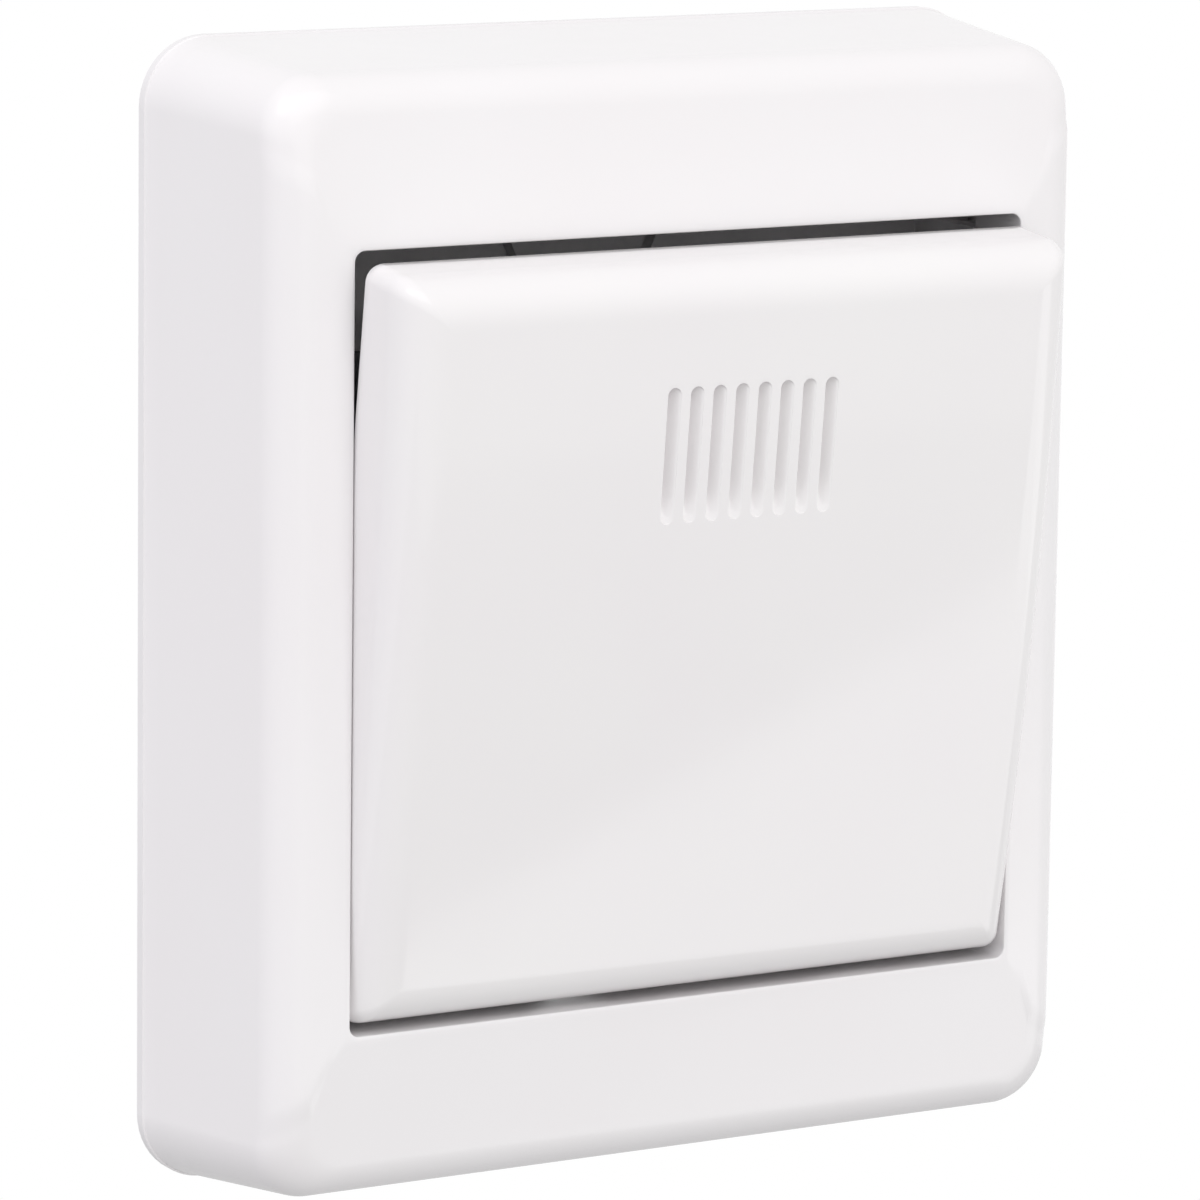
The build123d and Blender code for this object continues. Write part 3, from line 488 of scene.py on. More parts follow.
@dataclass
class Housing(SubAssembly):
    """The outer cover with its square opening, the base plate and the rubber ring of the cable entry.

    Sizes are in millimetres and angles in degrees. The falls are drops per millimetre past the lip, the foot
    is given as shares of the flange and heights, and the side's rows as shares of its height.
    """

    kept: Kept = ((BASE_ABS, ("base_plate",)),)
    width: float = 70.4
    height: float = 83.1
    back: float = 0.78
    front: float = 18.5
    taper: float = 5.65
    corner: float = 4.9
    front_corner: float = 4.1
    front_round: float = 3.3
    opening: float = 56.0
    opening_corner: float = 0.8
    lip: float = 0.3
    side_fall: float = 0.145
    end_fall: float = 0.124
    mitre_round: float = 0.03
    slope_reach: float = 0.6
    wall: float = 2.0
    ceiling: float = 15.5
    collar_wall: float = 1.6
    collar_bottom: float = 12.5
    edge: float = 0.10
    flange: float = 0.14
    foot: tuple[tuple[float, float], ...] = ((1.0, 0.0), (1.0, 0.03), (0.3, 0.10), (0.0, 0.24))
    side_rows: tuple[float, float, int] = (0.12, 0.9, 8)
    rib_across: tuple[float, float] = (14.8, 16.0)
    rib_depth: float = 4.0
    rib_sunk: float = 0.3
    rib_raised: float = 0.2
    ledge_across: tuple[float, float] = (31.45, 33.2)
    ledge_up: tuple[float, float] = (18.0, 26.0)
    ledge_out: tuple[float, float] = (6.1, 8.1)
    bar_edge: float = 0.15
    entry_up: float = -27.972
    entry_radius: float = 7.002
    entry_bore: float = 4.002
    side_steps: int = 40
    corner_steps: int = 28
    round_steps: int = 18
    border_steps: int = 26
    ring_steps: int = 96

    @property
    def lean(self) -> float:
        """How far the sides lean in per millimetre of height."""
        return math.tan(math.radians(self.taper))

    def path(self, half: float, more: float, corner: float) -> np.ndarray:
        """Rounded rectangles by half their width, how much greater half their height is, and their corner."""
        return rounded_paths(half, half + more, corner, [eased(self.side_steps)] * 4, self.corner_steps)

    def front_height(self, place: np.ndarray) -> np.ndarray:
        """Height of the cover's front, level at the opening, with borders that fall away to the edge.

        z = front - m(s u, e v), where u and v are the distances past the lip to the side and to the end,
        s and e are the two falls, and m(p, q) = (p + q + sqrt((p - q)^2 + k^2) - k) / 2 is a maximum with
        a soft mitre.

        Args:
            place: Points of shape (..., 2).

        Returns:
            Heights of shape (...).
        """
        past = np.clip(np.abs(place) - self.opening / 2 - self.lip, 0, None) * (self.side_fall, self.end_fall)
        soft = self.mitre_round
        across, upward = past[..., 0], past[..., 1]
        return self.front - (across + upward + np.sqrt((across - upward) ** 2 + soft ** 2) - soft) / 2

    def sections(self, base: np.ndarray, outward: np.ndarray) -> np.ndarray:
        """The foot, the side and the rounded front edge, worked out at each point of the back edge's path.

        Each section has a front slope b of its own. The side leans in by the taper t, the two meet at a
        virtual edge V, and the round's middle lies at V - R (ns + nf) / (1 + ns . nf), with
        ns = (cos t, sin t) and nf = (sin b, cos b). The foot flares out a little, so that it closes over
        the base plate's flange with no seam.

        Args:
            base: The back edge's path, of shape (points, 2).
            outward: How each of its points moves when the sides move out by a millimetre.

        Returns:
            Distances outwards and heights, of shape (rings, points, 2).
        """
        inset = np.full(len(base), (self.front - self.back) * self.lean)
        # The edge's height and its inset depend on each other, and six rounds settle both.
        for _ in range(6):
            edge_height = self.front_height(base - inset[:, None] * outward)
            inset = (edge_height - self.back) * self.lean
        rise = self.front_height(base - (inset + self.slope_reach)[:, None] * outward) - edge_height
        slope = np.arctan2(rise, self.slope_reach)
        tip = np.stack([-inset, edge_height], axis=-1)
        taper = math.radians(self.taper)
        side_way = np.array([math.cos(taper), math.sin(taper)])
        front_way = np.stack([np.sin(slope), np.cos(slope)], axis=-1)
        middle = tip - self.front_round * (side_way + front_way) / (1 + (front_way @ side_way)[:, None])
        turn = taper + (np.pi / 2 - slope - taper) * np.linspace(0, 1, self.round_steps + 1)[:, None]
        bend = middle + self.front_round * np.stack([np.cos(turn), np.sin(turn)], axis=-1)
        foot = np.array(self.foot)[:, None] * (self.flange, 1.0) + (0.0, self.back)
        side = foot[-1:] + (bend[:1] - foot[-1:]) * np.linspace(*self.side_rows)[:, None, None]
        return np.concatenate([np.broadcast_to(foot, (len(foot), len(base), 2)), side, bend])

    def outside(self) -> np.ndarray:
        """The cover's sides, rounded front edge and borders, as rings from the back edge to the lip.

        The borders run straight from the rounded edge to the lip. Their height is the front's, and what the
        rounded edge lies off it fades by (1 - s)^3 over the border's share s.

        Returns:
            Points of shape (rings, points, 3).
        """
        more = (self.height - self.width) / 2
        base = self.path(self.width / 2, more, self.corner)[0]
        shrink = (self.corner - self.front_corner) / ((self.front - self.back) * self.lean)
        outward = base - self.path(self.width / 2 - 1, more, self.corner - shrink)[0]
        section = self.sections(base, outward)
        flat = base + section[..., :1] * outward
        inner = self.path(self.opening / 2 + self.lip, 0.0, self.opening_corner + self.lip)
        share = np.linspace(0, 1, self.border_steps + 1)[1:, None, None]
        border = flat[-1:] + (inner - flat[-1:]) * share
        misfit = (section[-1, :, 1] - self.front_height(flat[-1])) * (1 - share[..., 0]) ** 3
        height = self.front_height(border) + misfit
        return np.concatenate([np.concatenate([flat, section[..., 1:]], axis=-1),
                               np.concatenate([border, height[..., None]], axis=-1)])

    def inside(self) -> np.ndarray:
        """The opening's edge and wall, the collar's foot, the ceiling and the inner side walls, as rings.

        Each ring is a row of half its width, how much greater half its height is, its corner and its height.
        Round an edge of radius e the rings lie e (1 - sin t) from the one wall and e (1 - cos t) from the
        other.

        Returns:
            Points of shape (rings, points, 3).
        """
        soft, foot = self.edge, self.collar_bottom

        def beside(away: float, out: float) -> tuple[float, float, float, float]:
            """A row that lies so far behind the opening's wall."""
            return self.opening / 2 + away, 0.0, self.opening_corner + away, out

        def edge(first: float, last: float, steps: int) -> list[tuple[float, float]]:
            """The two distances at angles t in degrees from the first to the last."""
            turn = np.radians(np.linspace(first, last, steps + 1))
            return list(zip(soft * (1 - np.sin(turn)), soft * (1 - np.cos(turn))))

        rows = [beside(away, self.front - down) for away, down in edge(15, 90, 5)]
        rows += [beside(0.0, out) for out in (self.front - 2, self.front - 4, foot + soft)]
        rows += [beside(away, foot + up) for up, away in edge(15, 90, 4)]
        rows += [beside(self.collar_wall - away, foot + up) for up, away in edge(90, 0, 4)]
        rows += [beside(self.collar_wall, self.ceiling - soft), beside(self.collar_wall + soft, self.ceiling)]
        half, corner = self.width / 2 - self.wall, self.corner - self.wall
        more = (self.height - self.width) / 2
        shift = (self.ceiling - self.back) * self.lean
        rows += [(half - shift - soft, more, corner - shift, self.ceiling),
                 (half - shift, more, corner - shift, self.ceiling - soft),
                 (half, more, corner, self.back + soft / 2),
                 (half + soft / 2, more, corner + soft / 2, self.back)]
        half, more, corner, out = np.array(rows).T
        return raised(self.path(half, more, corner), out)

    def build_cover(self) -> bpy.types.Object:
        """Makes the cover with its ribs and the ledges for the snap hooks.

        Returns:
            The cover's object.
        """
        skin = Skin("housing_cover")
        skin.add(np.concatenate([self.outside(), self.inside()]), around=True, along=True)
        near = self.opening / 2 + self.collar_wall - self.rib_sunk
        far = self.height / 2 - self.wall - (self.ceiling - self.back) * self.lean + self.rib_sunk
        rib = self.rib_across, (near, far), (self.ceiling - self.rib_depth, self.ceiling + self.rib_raised)
        ledge = self.ledge_across, self.ledge_up, self.ledge_out
        for across in (-1, 1):
            for upward in (-1, 1):
                for wide, tall, (foot, top) in (rib, ledge):
                    (left, right), (low, high) = span(across, *wide), span(upward, *tall)
                    skin.add(rounded_bar((left, low, foot), (right, high, top), self.bar_edge), around=True)
        return skin.made(COVER_ABS, "white_cover", "root", "cover")

    def build_grommet(self) -> bpy.types.Object:
        """Makes the rubber ring: a profile turned about the entry's axis, (r cos t, r sin t, z).

        Its bore has a soft bead at either end and a waist, and its plug has a groove for the plate's edge.
        Each arc of the profile has its middle (r, z), radius, first and last angle and steps.

        Returns:
            The ring's object.
        """
        bore, plug, rim = self.entry_bore, self.entry_radius, self.entry_radius + 1.2
        profile = np.concatenate([arc_profile(*arc) for arc in (
            ((bore + 0.35, 0.55), 0.35, 180, 270, 5),
            ((plug - 0.4, 0.5), 0.3, 270, 360, 5),
            ((plug - 0.1 - 0.25, 1.2), 0.25, 0, 60, 3),
            ((rim - 0.3, 2.3), 0.3, 270, 360, 5),
            ((rim - 0.45, 2.75), 0.45, 0, 90, 6),
            ((bore + 0.4, 2.8), 0.4, 90, 180, 6))])
        turn = np.linspace(0, 2 * np.pi, self.ring_steps + 1)[:-1]
        radius, out = profile[:, 0, None], profile[:, 1, None]
        ring = np.broadcast_arrays(radius * np.cos(turn), self.entry_up + radius * np.sin(turn), out)
        skin = Skin("cable_entry_grommet")
        skin.add(np.stack(ring, axis=-1), around=True, along=True)
        return skin.made(GROMMET_RUBBER, "grommet_rubber", "root", "cable_grommet")


# Rocker


@dataclass(frozen=True)
class RockerFace:
    """The tilting push face with its crowned front, rounded edges and row of indicator grooves.

    Sizes are in millimetres and the tilt in degrees. The grooves' left and right are as seen from the room.
    Their depth falls to one share of itself at the right wall and to another at the lower end.
    """

    half_width: float = 27.92
    half_length: float = 27.3
    face: float = 5.7
    crown: float = 466.2
    edge_round: float = 3.45
    edge_power: float = 0.83
    corner: float = 1.3
    corner_power: float = 1.5
    skirt: float = 1.75
    skirt_round: float = 0.2
    wall: float = 1.6
    ceiling: float = 3.3
    ceiling_round: float = 0.4
    pivot: float = 18.0
    tilt: float = 7.4
    grooves: int = 8
    groove_width: float = 1.1
    groove_length: float = 9.9
    groove_pitch: float = 1.885
    groove_depth: float = 1.25
    groove_up: float = 13.9
    groove_right: float = 0.45
    groove_margin: float = 1.8
    groove_lip: float = 0.06
    groove_foot: float = 0.12
    right_share: float = 0.04
    right_from: float = 0.6
    lower_share: float = 0.1
    lower_length: float = 2.2
    pocket_margin: tuple[float, float] = (0.2, 0.6)
    pocket_roof: float = 0.6
    clip_half: float = 6.0
    clip_foot: float = 1.1
    clip_wall: tuple[float, float, float] = (8.1, 9.3, 4.2)
    clip_hook: tuple[float, float, float] = (7.5, 8.3, 1.9)
    clip_edge: float = 0.12
    cell_steps: int = 8
    straight_steps: int = 12
    side_steps: int = 18
    lower_steps: int = 32
    upper_steps: int = 5
    round_steps: int = 22
    corner_steps: int = 14

    def crowned(self, upward: np.ndarray) -> np.ndarray:
        """Height of the face above the axis: face - (R - sqrt(R^2 - y^2))."""
        return self.face - (self.crown - np.sqrt(self.crown ** 2 - upward ** 2))

    def tilted(self, grid: np.ndarray) -> np.ndarray:
        """Turns points about the rocker's axis to their place at rest, with the upper end out.

        With the tilt t, a point (x, y, z) goes to (x, y cos t - z sin t, y sin t + z cos t + pivot).

        Args:
            grid: Points of shape (..., 3).

        Returns:
            The turned points, in the same shape.
        """
        turn = math.radians(self.tilt)
        upward = grid[..., 1] * math.cos(turn) - grid[..., 2] * math.sin(turn)
        out = grid[..., 1] * math.sin(turn) + grid[..., 2] * math.cos(turn) + self.pivot
        return np.stack([grid[..., 0], upward, out], axis=-1)

    def lines(self) -> tuple[np.ndarray, np.ndarray, slice, slice]:
        """The face's grid lines, which lie closer in the block of grooves.

        Returns:
            The places of the lines across and of those upward, and which of each belong to the block.
        """
        half_block = self.grooves * self.groove_pitch / 2
        cells = self.grooves * self.cell_steps
        block_across = self.groove_right + np.linspace(-half_block, half_block, cells + 1)
        straight = (self.groove_length - self.groove_width) / 2
        reach = straight + self.groove_margin
        block_up = self.groove_up + np.concatenate([
            np.linspace(-reach, -straight, self.cell_steps + 1)[:-1],
            np.linspace(-straight, straight, self.straight_steps + 1)[:-1],
            np.linspace(straight, reach, self.cell_steps + 1)])
        side, end = self.half_width - self.edge_round, self.half_length - self.edge_round
        left = np.linspace(-side, block_across[0], self.side_steps + 1)[:-1]
        right = np.linspace(block_across[-1], side, self.side_steps + 1)[1:]
        below = np.linspace(-end, block_up[0], self.lower_steps + 1)[:-1]
        above = np.linspace(block_up[-1], end, self.upper_steps + 1)[1:]
        across = np.concatenate([left, block_across, right])
        upward = np.concatenate([below, block_up, above])
        return (across, upward, slice(len(left), len(left) + len(block_across)),
                slice(len(below), len(below) + len(block_up)))

    def on_face(self, across: np.ndarray, upward: np.ndarray, depth: np.ndarray | float = 0.0) -> np.ndarray:
        """Points on the crowned face, or a depth below it."""
        across, upward, depth = np.broadcast_arrays(across, upward, depth)
        return np.stack([across, upward, self.crowned(upward) - depth], axis=-1)

    def cell_paths(self) -> list[np.ndarray]:
        """The paths of a groove's piece of face, counterclockwise from the lower end of its right-hand side.

        Returns:
            The piece's rectangle, the nearest points of the groove's middle line, and the ways outwards from
            them, each of shape (points, 2).
        """
        straight = (self.groove_length - self.groove_width) / 2
        steps, half, reach = self.cell_steps, self.groove_pitch / 2, straight + self.groove_margin
        rise = np.linspace(-straight, straight, self.straight_steps + 1)[:-1]
        cap = np.linspace(straight, reach, steps + 1)
        across = np.linspace(half, -half, steps + 1)
        sides = ((np.full(len(rise), half), rise), (np.full(steps, half), cap[:-1]),
                 (across[:-1], np.full(steps, reach)), (np.full(steps, -half), cap[:0:-1]))
        rectangle = np.concatenate([np.stack(side, axis=-1) for side in sides])
        turn = np.linspace(0, np.pi, 3 * steps + 1)[:-1]
        spine = np.concatenate([np.stack([np.zeros(len(rise)), rise], axis=-1),
                                np.broadcast_to([0.0, straight], (len(turn), 2))])
        way = np.concatenate([np.broadcast_to([1.0, 0.0], (len(rise), 2)),
                              np.stack([np.cos(turn), np.sin(turn)], axis=-1)])
        return [np.concatenate([upper, -upper]) for upper in (rectangle, spine, way)]

    def groove_profile(self) -> np.ndarray:
        """The groove's section, from its rounded lip down the leaning wall to its rounded floor.

        Returns:
            Distances from the groove's middle line and depths, of shape (2, points).
        """
        lip, foot, radius = self.groove_lip, self.groove_foot, self.groove_width / 2
        draft, dip, near = 0.03, 0.01, 0.12
        lip_turn = np.radians(np.linspace(0, 80, 6))
        foot_turn = np.radians(np.linspace(10, 90, 6))
        wall = np.stack([radius + lip - lip * np.sin(lip_turn), lip * (1 - np.cos(lip_turn))])
        floor = np.stack([radius - draft - foot * (1 - np.cos(foot_turn)),
                          self.groove_depth - foot + foot * np.sin(foot_turn)])
        middle = np.array([[near, 0.0], [self.groove_depth + dip] * 2])
        return np.concatenate([wall, floor, middle], axis=1)

    def groove_cell(self, middle: float) -> np.ndarray:
        """One groove and the piece of face round it, as rings from a rectangle to the groove's middle line.

        A ring at distance d from the middle line is a stadium: the straight sides at x = ±d, and the caps
        d (cos t, sin t) about the ends of the line. The outer rings pass over from the rectangle to the
        first stadium by a straight blend. The floor is deepest along the left wall: every depth is
        multiplied by 1 - (1 - a) smooth((x / r + f) / (1 + f)), with its share a at the right wall, and by
        b + (1 - b) smooth(h / l) at a height h above the lower end, with its share b there.

        Args:
            middle: Where the groove stands across the face.

        Returns:
            Points of shape (rings, points, 3).
        """
        rectangle, spine, way = self.cell_paths()
        distance, depth = self.groove_profile()
        stadiums = spine + distance[:, None, None] * way
        outer = rectangle + (stadiums[0] - rectangle) * np.linspace(0, 1, 5)[:-1, None, None]
        flat = np.concatenate([outer, stadiums])
        radius = self.groove_width / 2
        rightward = smooth((flat[..., 0] / radius + self.right_from) / (1 + self.right_from))
        upward = smooth((flat[..., 1] + self.groove_length / 2) / self.lower_length)
        sunk = np.concatenate([np.zeros(len(outer)), depth])[:, None]
        sunk = sunk * (1 - (1 - self.right_share) * rightward)
        sunk = sunk * (self.lower_share + (1 - self.lower_share) * upward)
        return self.on_face(flat[..., 0] + middle, flat[..., 1] + self.groove_up, sunk)

    def shell(self, across: np.ndarray, upward: np.ndarray) -> np.ndarray:
        """Rounded edges, skirt and inner walls, as rings that start on the face's grid boundary.

        On the round, a ring at angle t lies R (1 - cos(t)^p) inside the wall and R (1 - sin(t)^p) below the
        crown, a superellipse whose bend starts softly, so that reflections run smoothly over it.
        Its corner radius goes from 0 at the face to the full corner at the wall, which leaves a soft mitre.

        Args:
            across: The places of the face's grid lines across.
            upward: The places of its grid lines upward.

        Returns:
            Points of shape (rings, points, 3).
        """
        side, end = across[-1], upward[-1]
        shares = [(side - across[::-1][1:-1]) / (2 * side), (end - upward[::-1][1:-1]) / (2 * end),
                  (across[1:-1] + side) / (2 * side), (upward[1:-1] + end) / (2 * end)]
        turn = np.radians(90 * (1 + np.cos(np.pi * np.linspace(0, 1, self.round_steps + 1))) / 2)
        inset = self.edge_round * (1 - np.clip(np.cos(turn), 0, 1) ** self.edge_power)
        drop = self.edge_round * (1 - np.sin(turn) ** self.edge_power)
        corner = self.corner * (1 - inset / self.edge_round) ** self.corner_power
        flat = rounded_paths(self.half_width - inset, self.half_length - inset, corner, shares,
                             self.corner_steps)
        height = self.crowned(flat[..., 1]) - drop[:, None]
        bend = np.concatenate([flat, height[..., None]], axis=-1)
        foot, soft, inner, roof, curve = (-self.skirt, self.skirt_round, self.wall, self.ceiling,
                                          self.ceiling_round)
        inset, out = np.array([
            (0, foot + 0.9), (0, foot + soft), (BEVEL * soft, foot + BEVEL * soft), (soft, foot),
            (inner - soft, foot), (inner - BEVEL * soft, foot + BEVEL * soft), (inner, foot + soft),
            (inner, roof - curve), (inner + BEVEL * curve, roof - BEVEL * curve), (inner + curve, roof)]).T
        flat = rounded_paths(self.half_width - inset, self.half_length - inset,
                             np.clip(self.corner - inset, 0.1, None), shares, self.corner_steps)
        return np.concatenate([bend, raised(flat, out)])

    def under_face(self, last: np.ndarray) -> np.ndarray:
        """The ceiling with the light pocket behind the grooves, from the inner wall's last ring inwards.

        Its rings pass over to the pocket's rectangle by a straight blend, then up the pocket's wall and
        over its roof to the middle.

        Args:
            last: The inner wall's last ring, of shape (points, 3).

        Returns:
            Points of shape (rings, points, 3).
        """
        half = np.array([self.grooves * self.groove_pitch, self.groove_length]) / 2 + self.pocket_margin
        middle = np.array([self.groove_right, self.groove_up])
        direction = last[:, :2] - middle
        scale = (half / np.maximum(np.abs(direction), 1e-9)).min(axis=1, keepdims=True)
        rectangle = middle + direction * scale
        roof = self.face - self.groove_depth - self.pocket_roof
        ahead = last[:, :2] + (rectangle - last[:, :2]) / 2
        inner = rectangle + (middle - rectangle) / 2
        flat = np.stack([ahead, rectangle, rectangle, inner, np.broadcast_to(middle, inner.shape)])
        return raised(flat, np.array([self.ceiling, self.ceiling, roof, roof, roof]))

    def build(self) -> bpy.types.Object:
        """Makes the rocker's face, edges, skirt, grooves, inner side and the two clips for its carrier.

        Returns:
            The rocker's object.
        """
        skin = Skin("rocker_face")
        across, upward, block_across, block_up = self.lines()
        mesh_up, mesh_across = np.meshgrid(upward, across, indexing="ij")
        face = self.tilted(self.on_face(mesh_across, mesh_up))
        skin.add(face[:, :block_across.start + 1])
        skin.add(face[:, block_across.stop - 1:])
        skin.add(face[:block_up.start + 1, block_across])
        skin.add(face[block_up.stop - 1:, block_across])
        for number in range(self.grooves):
            middle = self.groove_right + (number - (self.grooves - 1) / 2) * self.groove_pitch
            skin.add(self.tilted(self.groove_cell(middle)), around=True)
        shell = self.shell(across, upward)
        skin.add(self.tilted(np.concatenate([shell, self.under_face(shell[-1])])), around=True)
        for side in (-1, 1):
            for near, far, top in (self.clip_wall, self.clip_hook):
                low, high = span(side, near, far)
                bar = rounded_bar((-self.clip_half, low, self.clip_foot), (self.clip_half, high, top),
                                  self.clip_edge)
                skin.add(self.tilted(bar), around=True)
        return skin.made(ROCKER_ABS, "white_rocker", "rocker", "rocker")


@dataclass
class RockerDrive(SubAssembly):
    """The carrier on its trunnions, the sprung plunger and its coil spring, in millimetres and degrees."""

    kept: Kept = ((NATURAL_NYLON, ("rocker_carrier", "plunger")),)
    face: RockerFace = RockerFace()
    wire: float = 0.4
    radius: float = 1.15
    low: float = -2.65
    high: float = 1.25
    turns: float = 6.0
    closed_turns: float = 1.0
    closed_pitch: float = 1.05
    opening_turns: float = 0.5
    travel: float = 1.0
    coil_steps: int = 336
    wire_steps: int = 14

    def coil_line(self) -> tuple[np.ndarray, np.ndarray]:
        """The middle line of the wire, (r cos a, r sin a, z(a)), with closed end turns.

        The pitch is about one wire thickness over the end turns and rises smoothly to the free pitch between
        them: z is the running sum of that pitch, scaled to the room.

        Returns:
            The line and the way outwards from the coil's axis, each of shape (points, 3).
        """
        angle = np.linspace(0, 2 * np.pi * self.turns, self.coil_steps + 1)
        turns = angle / (2 * np.pi)
        from_end = np.minimum(turns, self.turns - turns)
        open_share = smooth((from_end - self.closed_turns) / self.opening_turns + 0.5)
        closed = self.closed_pitch * self.wire
        room = self.high - self.low
        pitch = closed + (room - closed * self.turns) / (open_share.mean() * self.turns) * open_share
        rise = np.concatenate([[0], np.cumsum((pitch[1:] + pitch[:-1]) / 2 * np.diff(turns))])
        radial = np.stack([np.cos(angle), np.sin(angle), np.zeros_like(angle)], axis=-1)
        line = self.radius * radial
        line[:, 2] += self.low + rise * room / rise[-1]
        return line, radial

    def build_spring(self) -> bpy.types.Object:
        """Makes the coil spring, which rides on the rocker.

        The wire's section is a circle in the plane of the radial way and the way across the wire.

        Returns:
            The spring's object.
        """
        line, radial = self.coil_line()
        along = np.gradient(line, axis=0)
        along /= np.linalg.norm(along, axis=1, keepdims=True)
        across = np.cross(along, radial)
        turn = np.linspace(0, 2 * np.pi, self.wire_steps + 1)[:-1]
        section = (np.cos(turn)[None, :, None] * radial[:, None]
                   + np.sin(turn)[None, :, None] * across[:, None])
        tube = line[:, None] + self.wire / 2 * section
        ends = [np.broadcast_to(line[i], (1, len(turn), 3)) for i in (0, -1)]
        skin = Skin("plunger_coil_spring")
        grid = np.concatenate([ends[0], tube, ends[1]])
        skin.add(self.face.tilted(grid), around=True)
        spring = skin.made(SPRING_STEEL, "spring_steel", "rocker", "plunger_spring", sharp=60)
        turn = math.radians(self.face.tilt)
        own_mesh(spring)
        return spring


# Mechanism and lamp


@dataclass
class Mechanism(SubAssembly):
    """The moulded insert with its lid, terminals, screws and contacts."""

    kept: Kept = (
        (FILLED_NYLON, ("mechanism_body", "mechanism_lid")),
        (ZINC_STEEL, ("mechanism_screws", "lid_screws", "terminal_screws")),
        (STAMPED_BRASS, ("common_terminal", "upper_terminal", "lower_terminal", "lamp_terminal",
                         "contact_bridge")),
        (CONTACT_SILVER, ("fixed_contacts", "moving_contacts")))


@dataclass
class IndicatorLamp(SubAssembly):
    """The glow lamp with its holder, wires, resistor and clear lens."""

    kept: Kept = (
        (FILLED_NYLON, ("lamp_holder",)), (LAMP_GLASS, ("glow_lamp",)), (SPRING_STEEL, ("lamp_electrodes",)),
        (TINNED_COPPER, ("lamp_leads",)), (RESISTOR_LACQUER, ("lamp_resistor",)),
        (LENS_POLYCARBONATE, ("lamp_lens",)))


# Studio


WHITE = linear("#ffffff")


@dataclass(frozen=True)
class SoftBox:
    """One soft lamp that faces the switch: its place and size in metres, power in watts and lean in degrees.

    A lean takes its upper end to its own right. Where it isn't mirrored, glossy surfaces get its soft light
    but don't show it.
    """

    name: str
    place: tuple[float, float, float]
    size: tuple[float, float]
    power: float
    colour: str = "#ffffff"
    lean: float = 0.0
    mirrored: bool = True

    def hang(self) -> bpy.types.Object:
        """Puts the lamp up, turned to the origin.

        With the way b from the origin to the lamp, the level way l across it and the lean t, the lamp's
        own axes are r = cos(t) l - sin(t) (b x l), b x r and b.

        Returns:
            The lamp's object.
        """
        data = bpy.data.lights.new(self.name, "AREA")
        data.shape, data.size, data.size_y = "RECTANGLE", *self.size
        data.energy, data.color = self.power, linear(self.colour)[:3]
        back = np.array(self.place)
        back /= np.linalg.norm(back)
        level = np.cross([0.0, 0.0, 1.0], back)
        level /= np.linalg.norm(level)
        turn = math.radians(self.lean)
        right = math.cos(turn) * level - math.sin(turn) * np.cross(back, level)
        lamp = placed(self.name, data, np.stack([right, np.cross(back, right), back], axis=-1), self.place)
        lamp.visible_glossy = self.mirrored
        return lamp


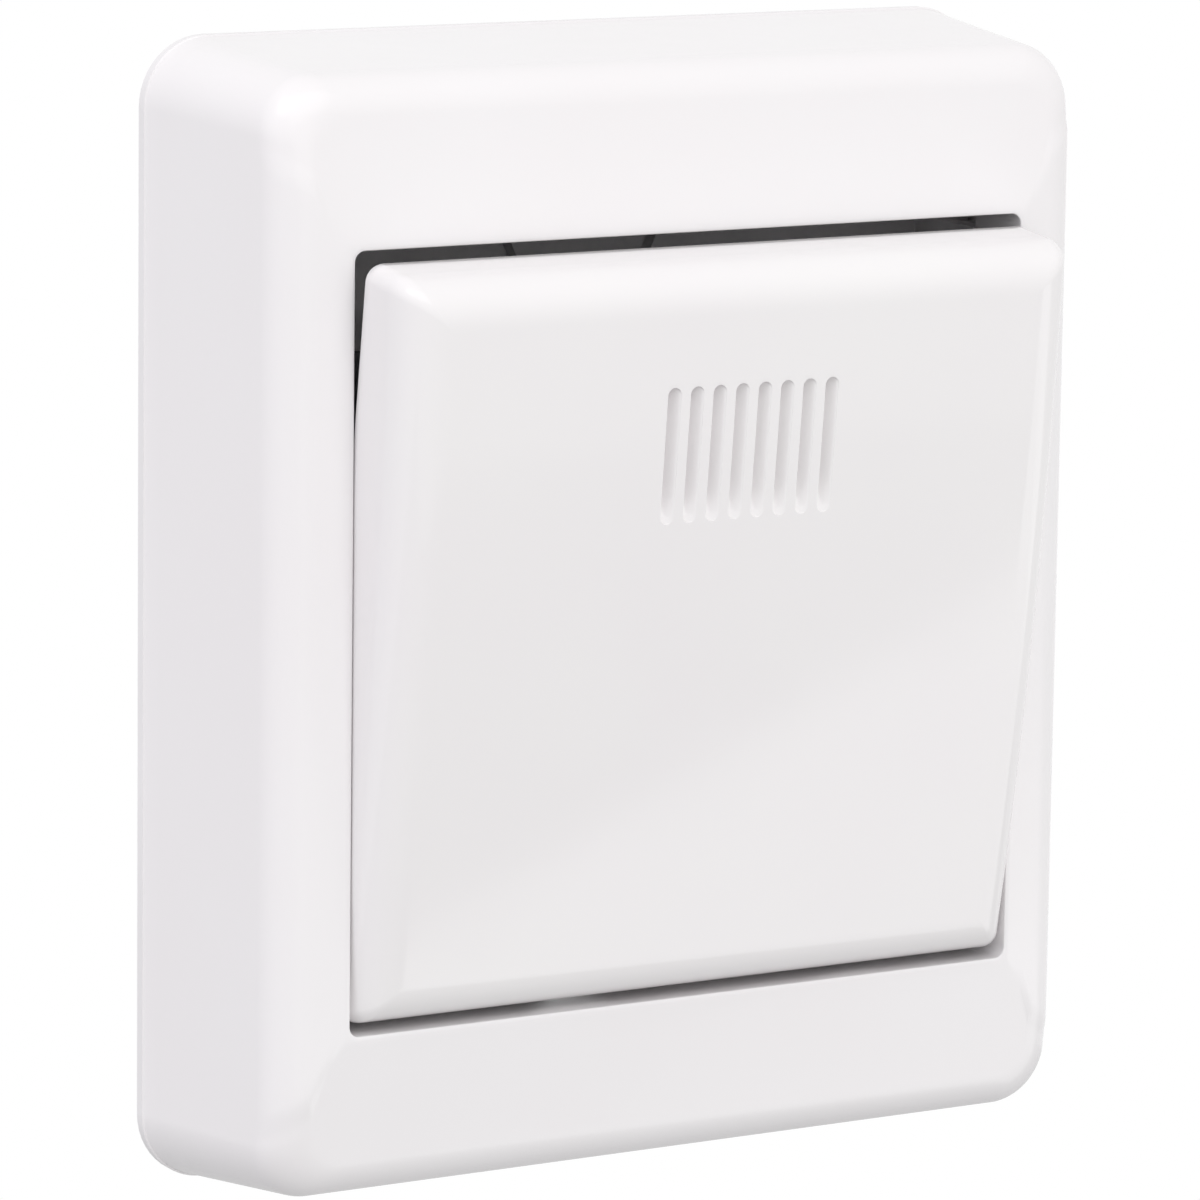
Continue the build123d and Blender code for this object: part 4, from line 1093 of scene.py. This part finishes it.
@dataclass
class Studio:
    """Camera, soft lights, pale floor and white surroundings, in metres and degrees."""

    eye: tuple[float, float, float] = (-0.26121, -0.43623, 0.08559)
    yaw: float = 31.244
    pitch: float = 9.718
    roll: float = 0.758
    lens: float = 207.9
    sensor: float = 36.0
    sight: tuple[float, float] = (0.01, 20.0)
    floor_height: float = -0.90
    floor_half: float = 2.4
    paper: str = "#a4a4a4"
    paper_fibre: str = "#acacac"
    paper_glow: float = 0.42
    fibre_scale: float = 40.0
    ambient: float = 0.73
    lamps: tuple[SoftBox, ...] = (
        SoftBox("key_soft_box", (-0.1, -0.7, 0.9), (1.0, 0.8), 1.9),
        SoftBox("upper_left_soft_box", (-0.7, -0.3, 1.0), (0.6, 0.6), 1.35),
        SoftBox("front_soft_box", (-0.1, -1.3, 0.1), (1.0, 0.8), 3.9, mirrored=False),
        SoftBox("left_side_soft_box", (-1.2, -0.1, 0.3), (1.0, 0.9), 2.0, "#f6f3ff", mirrored=False),
        SoftBox("left_back_soft_box", (-1.15, 0.45, 0.3), (1.0, 0.9), 1.3, "#f6f3ff", mirrored=False),
        SoftBox("low_reflector", (0.90, -0.68, -0.55), (0.7, 0.7), 1.4, lean=18.0))

    def place_camera(self) -> bpy.types.Object:
        """Puts the camera at the photograph's viewing angle.

        With right r, forward f and down d = f x r, the roll turns the camera's own axes to
        X = cos(roll) r - sin(roll) d and Y = -(sin(roll) r + cos(roll) d), and Z = -f.

        Returns:
            The camera's object.
        """
        yaw, pitch, roll = (math.radians(v) for v in (self.yaw, self.pitch, self.roll))
        right = np.array([math.cos(yaw), -math.sin(yaw), 0.0])
        ahead = np.array([math.sin(yaw) * math.cos(pitch), math.cos(yaw) * math.cos(pitch), -math.sin(pitch)])
        down = np.cross(ahead, right)
        axes = np.stack([math.cos(roll) * right - math.sin(roll) * down,
                         -(math.sin(roll) * right + math.cos(roll) * down), -ahead], axis=-1)
        data = bpy.data.cameras.new("studio_camera")
        data.lens, data.sensor_width = self.lens, self.sensor
        data.clip_start, data.clip_end = self.sight
        camera = placed("studio_camera", data, axes, self.eye)
        bpy.context.scene.camera = camera
        return camera

    def mixed(self, tree: bpy.types.NodeTree, light: bpy.types.Node,
              seen: bpy.types.Node) -> bpy.types.NodeSocket:
        """Mixes what lights other things with what is seen directly, in a reflection or through glass.

        Args:
            tree: The node tree of a material or of the world.
            light: The shader that lights other things.
            seen: The shader that is seen.

        Returns:
            The mixed shader's socket.
        """
        path = add_node(tree, "ShaderNodeLightPath")
        near = add_node(tree, "ShaderNodeMath", {"operation": "ADD"},
                        {0: path.outputs["Is Camera Ray"], 1: path.outputs["Is Glossy Ray"]})
        share = add_node(tree, "ShaderNodeMath", {"operation": "ADD", "use_clamp": True},
                         {0: near.outputs[0], 1: path.outputs["Is Transmission Ray"]})
        return add_node(tree, "ShaderNodeMixShader",
                        links={0: share.outputs[0], 1: light.outputs[0], 2: seen.outputs[0]}).outputs[0]

    def surroundings(self) -> None:
        """Makes the world: plain soft light, and white to the camera, in reflections and through glass."""
        world = bpy.data.worlds.new("white_studio")
        tree = cleared(world)
        light, white = (add_node(tree, "ShaderNodeBackground", {"Color": WHITE, "Strength": strength})
                        for strength in (self.ambient, 1.0))
        add_node(tree, "ShaderNodeOutputWorld", links={"Surface": self.mixed(tree, light, white)})
        bpy.context.scene.world = world

    def paper_material(self) -> bpy.types.Material:
        """Makes the floor's grey paper, which looks paler where it is seen than the light it gives back.

        Returns:
            The new material.
        """
        material = bpy.data.materials.new("pale_studio_paper")
        tree = cleared(material)
        fibre = add_node(tree, "ShaderNodeTexNoise", {"Scale": self.fibre_scale, "Detail": 4.0},
                         {"Vector": add_node(tree, "ShaderNodeTexCoord").outputs["Object"]})
        tint = add_node(tree, "ShaderNodeMix",
                        {"data_type": "RGBA", 6: linear(self.paper), 7: linear(self.paper_fibre)},
                        {"Factor": fibre.outputs[0]})
        paper = add_node(tree, "ShaderNodeBsdfDiffuse", links={"Color": tint.outputs[2]})
        glow = add_node(tree, "ShaderNodeEmission", {"Color": WHITE, "Strength": self.paper_glow})
        both = add_node(tree, "ShaderNodeAddShader", links={0: paper.outputs[0], 1: glow.outputs[0]})
        add_node(tree, "ShaderNodeOutputMaterial", links={"Surface": self.mixed(tree, paper, both)})
        return material

    def lay_floor(self) -> bpy.types.Object:
        """Lays a wide pale floor well below the switch, which takes the switch's shadow.

        Returns:
            The floor's object.
        """
        half, z = self.floor_half, self.floor_height
        corners = [(-half, -half, z), (half, -half, z), (half, half, z), (-half, half, z)]
        mesh = bpy.data.meshes.new("studio_floor")
        mesh.from_pydata(corners, [], [(0, 1, 2, 3)])
        mesh.materials.append(self.paper_material())
        floor = placed("studio_floor", mesh)
        return floor

    def build(self) -> None:
        """Sets up the whole studio."""
        self.place_camera()
        self.surroundings()
        self.lay_floor()
        for lamp in self.lamps:
            lamp.hang()
        bpy.context.scene.view_settings.view_transform = "Standard"
        LOG.info("studio: camera at %s, floor at %.2f m", self.eye, self.floor_height)


def main() -> None:
    """Builds and dresses every sub-assembly and sets up the studio."""
    logging.basicConfig(level=logging.INFO, format="%(name)s: %(message)s")
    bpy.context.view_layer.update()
    housing = Housing()
    housing.build_cover()
    housing.build_grommet()
    housing.dress()
    RockerFace().build()
    drive = RockerDrive()
    drive.build_spring()
    drive.dress()
    Mechanism().dress()
    IndicatorLamp().dress()
    Studio().build()


if __name__ == "__main__":
    main()
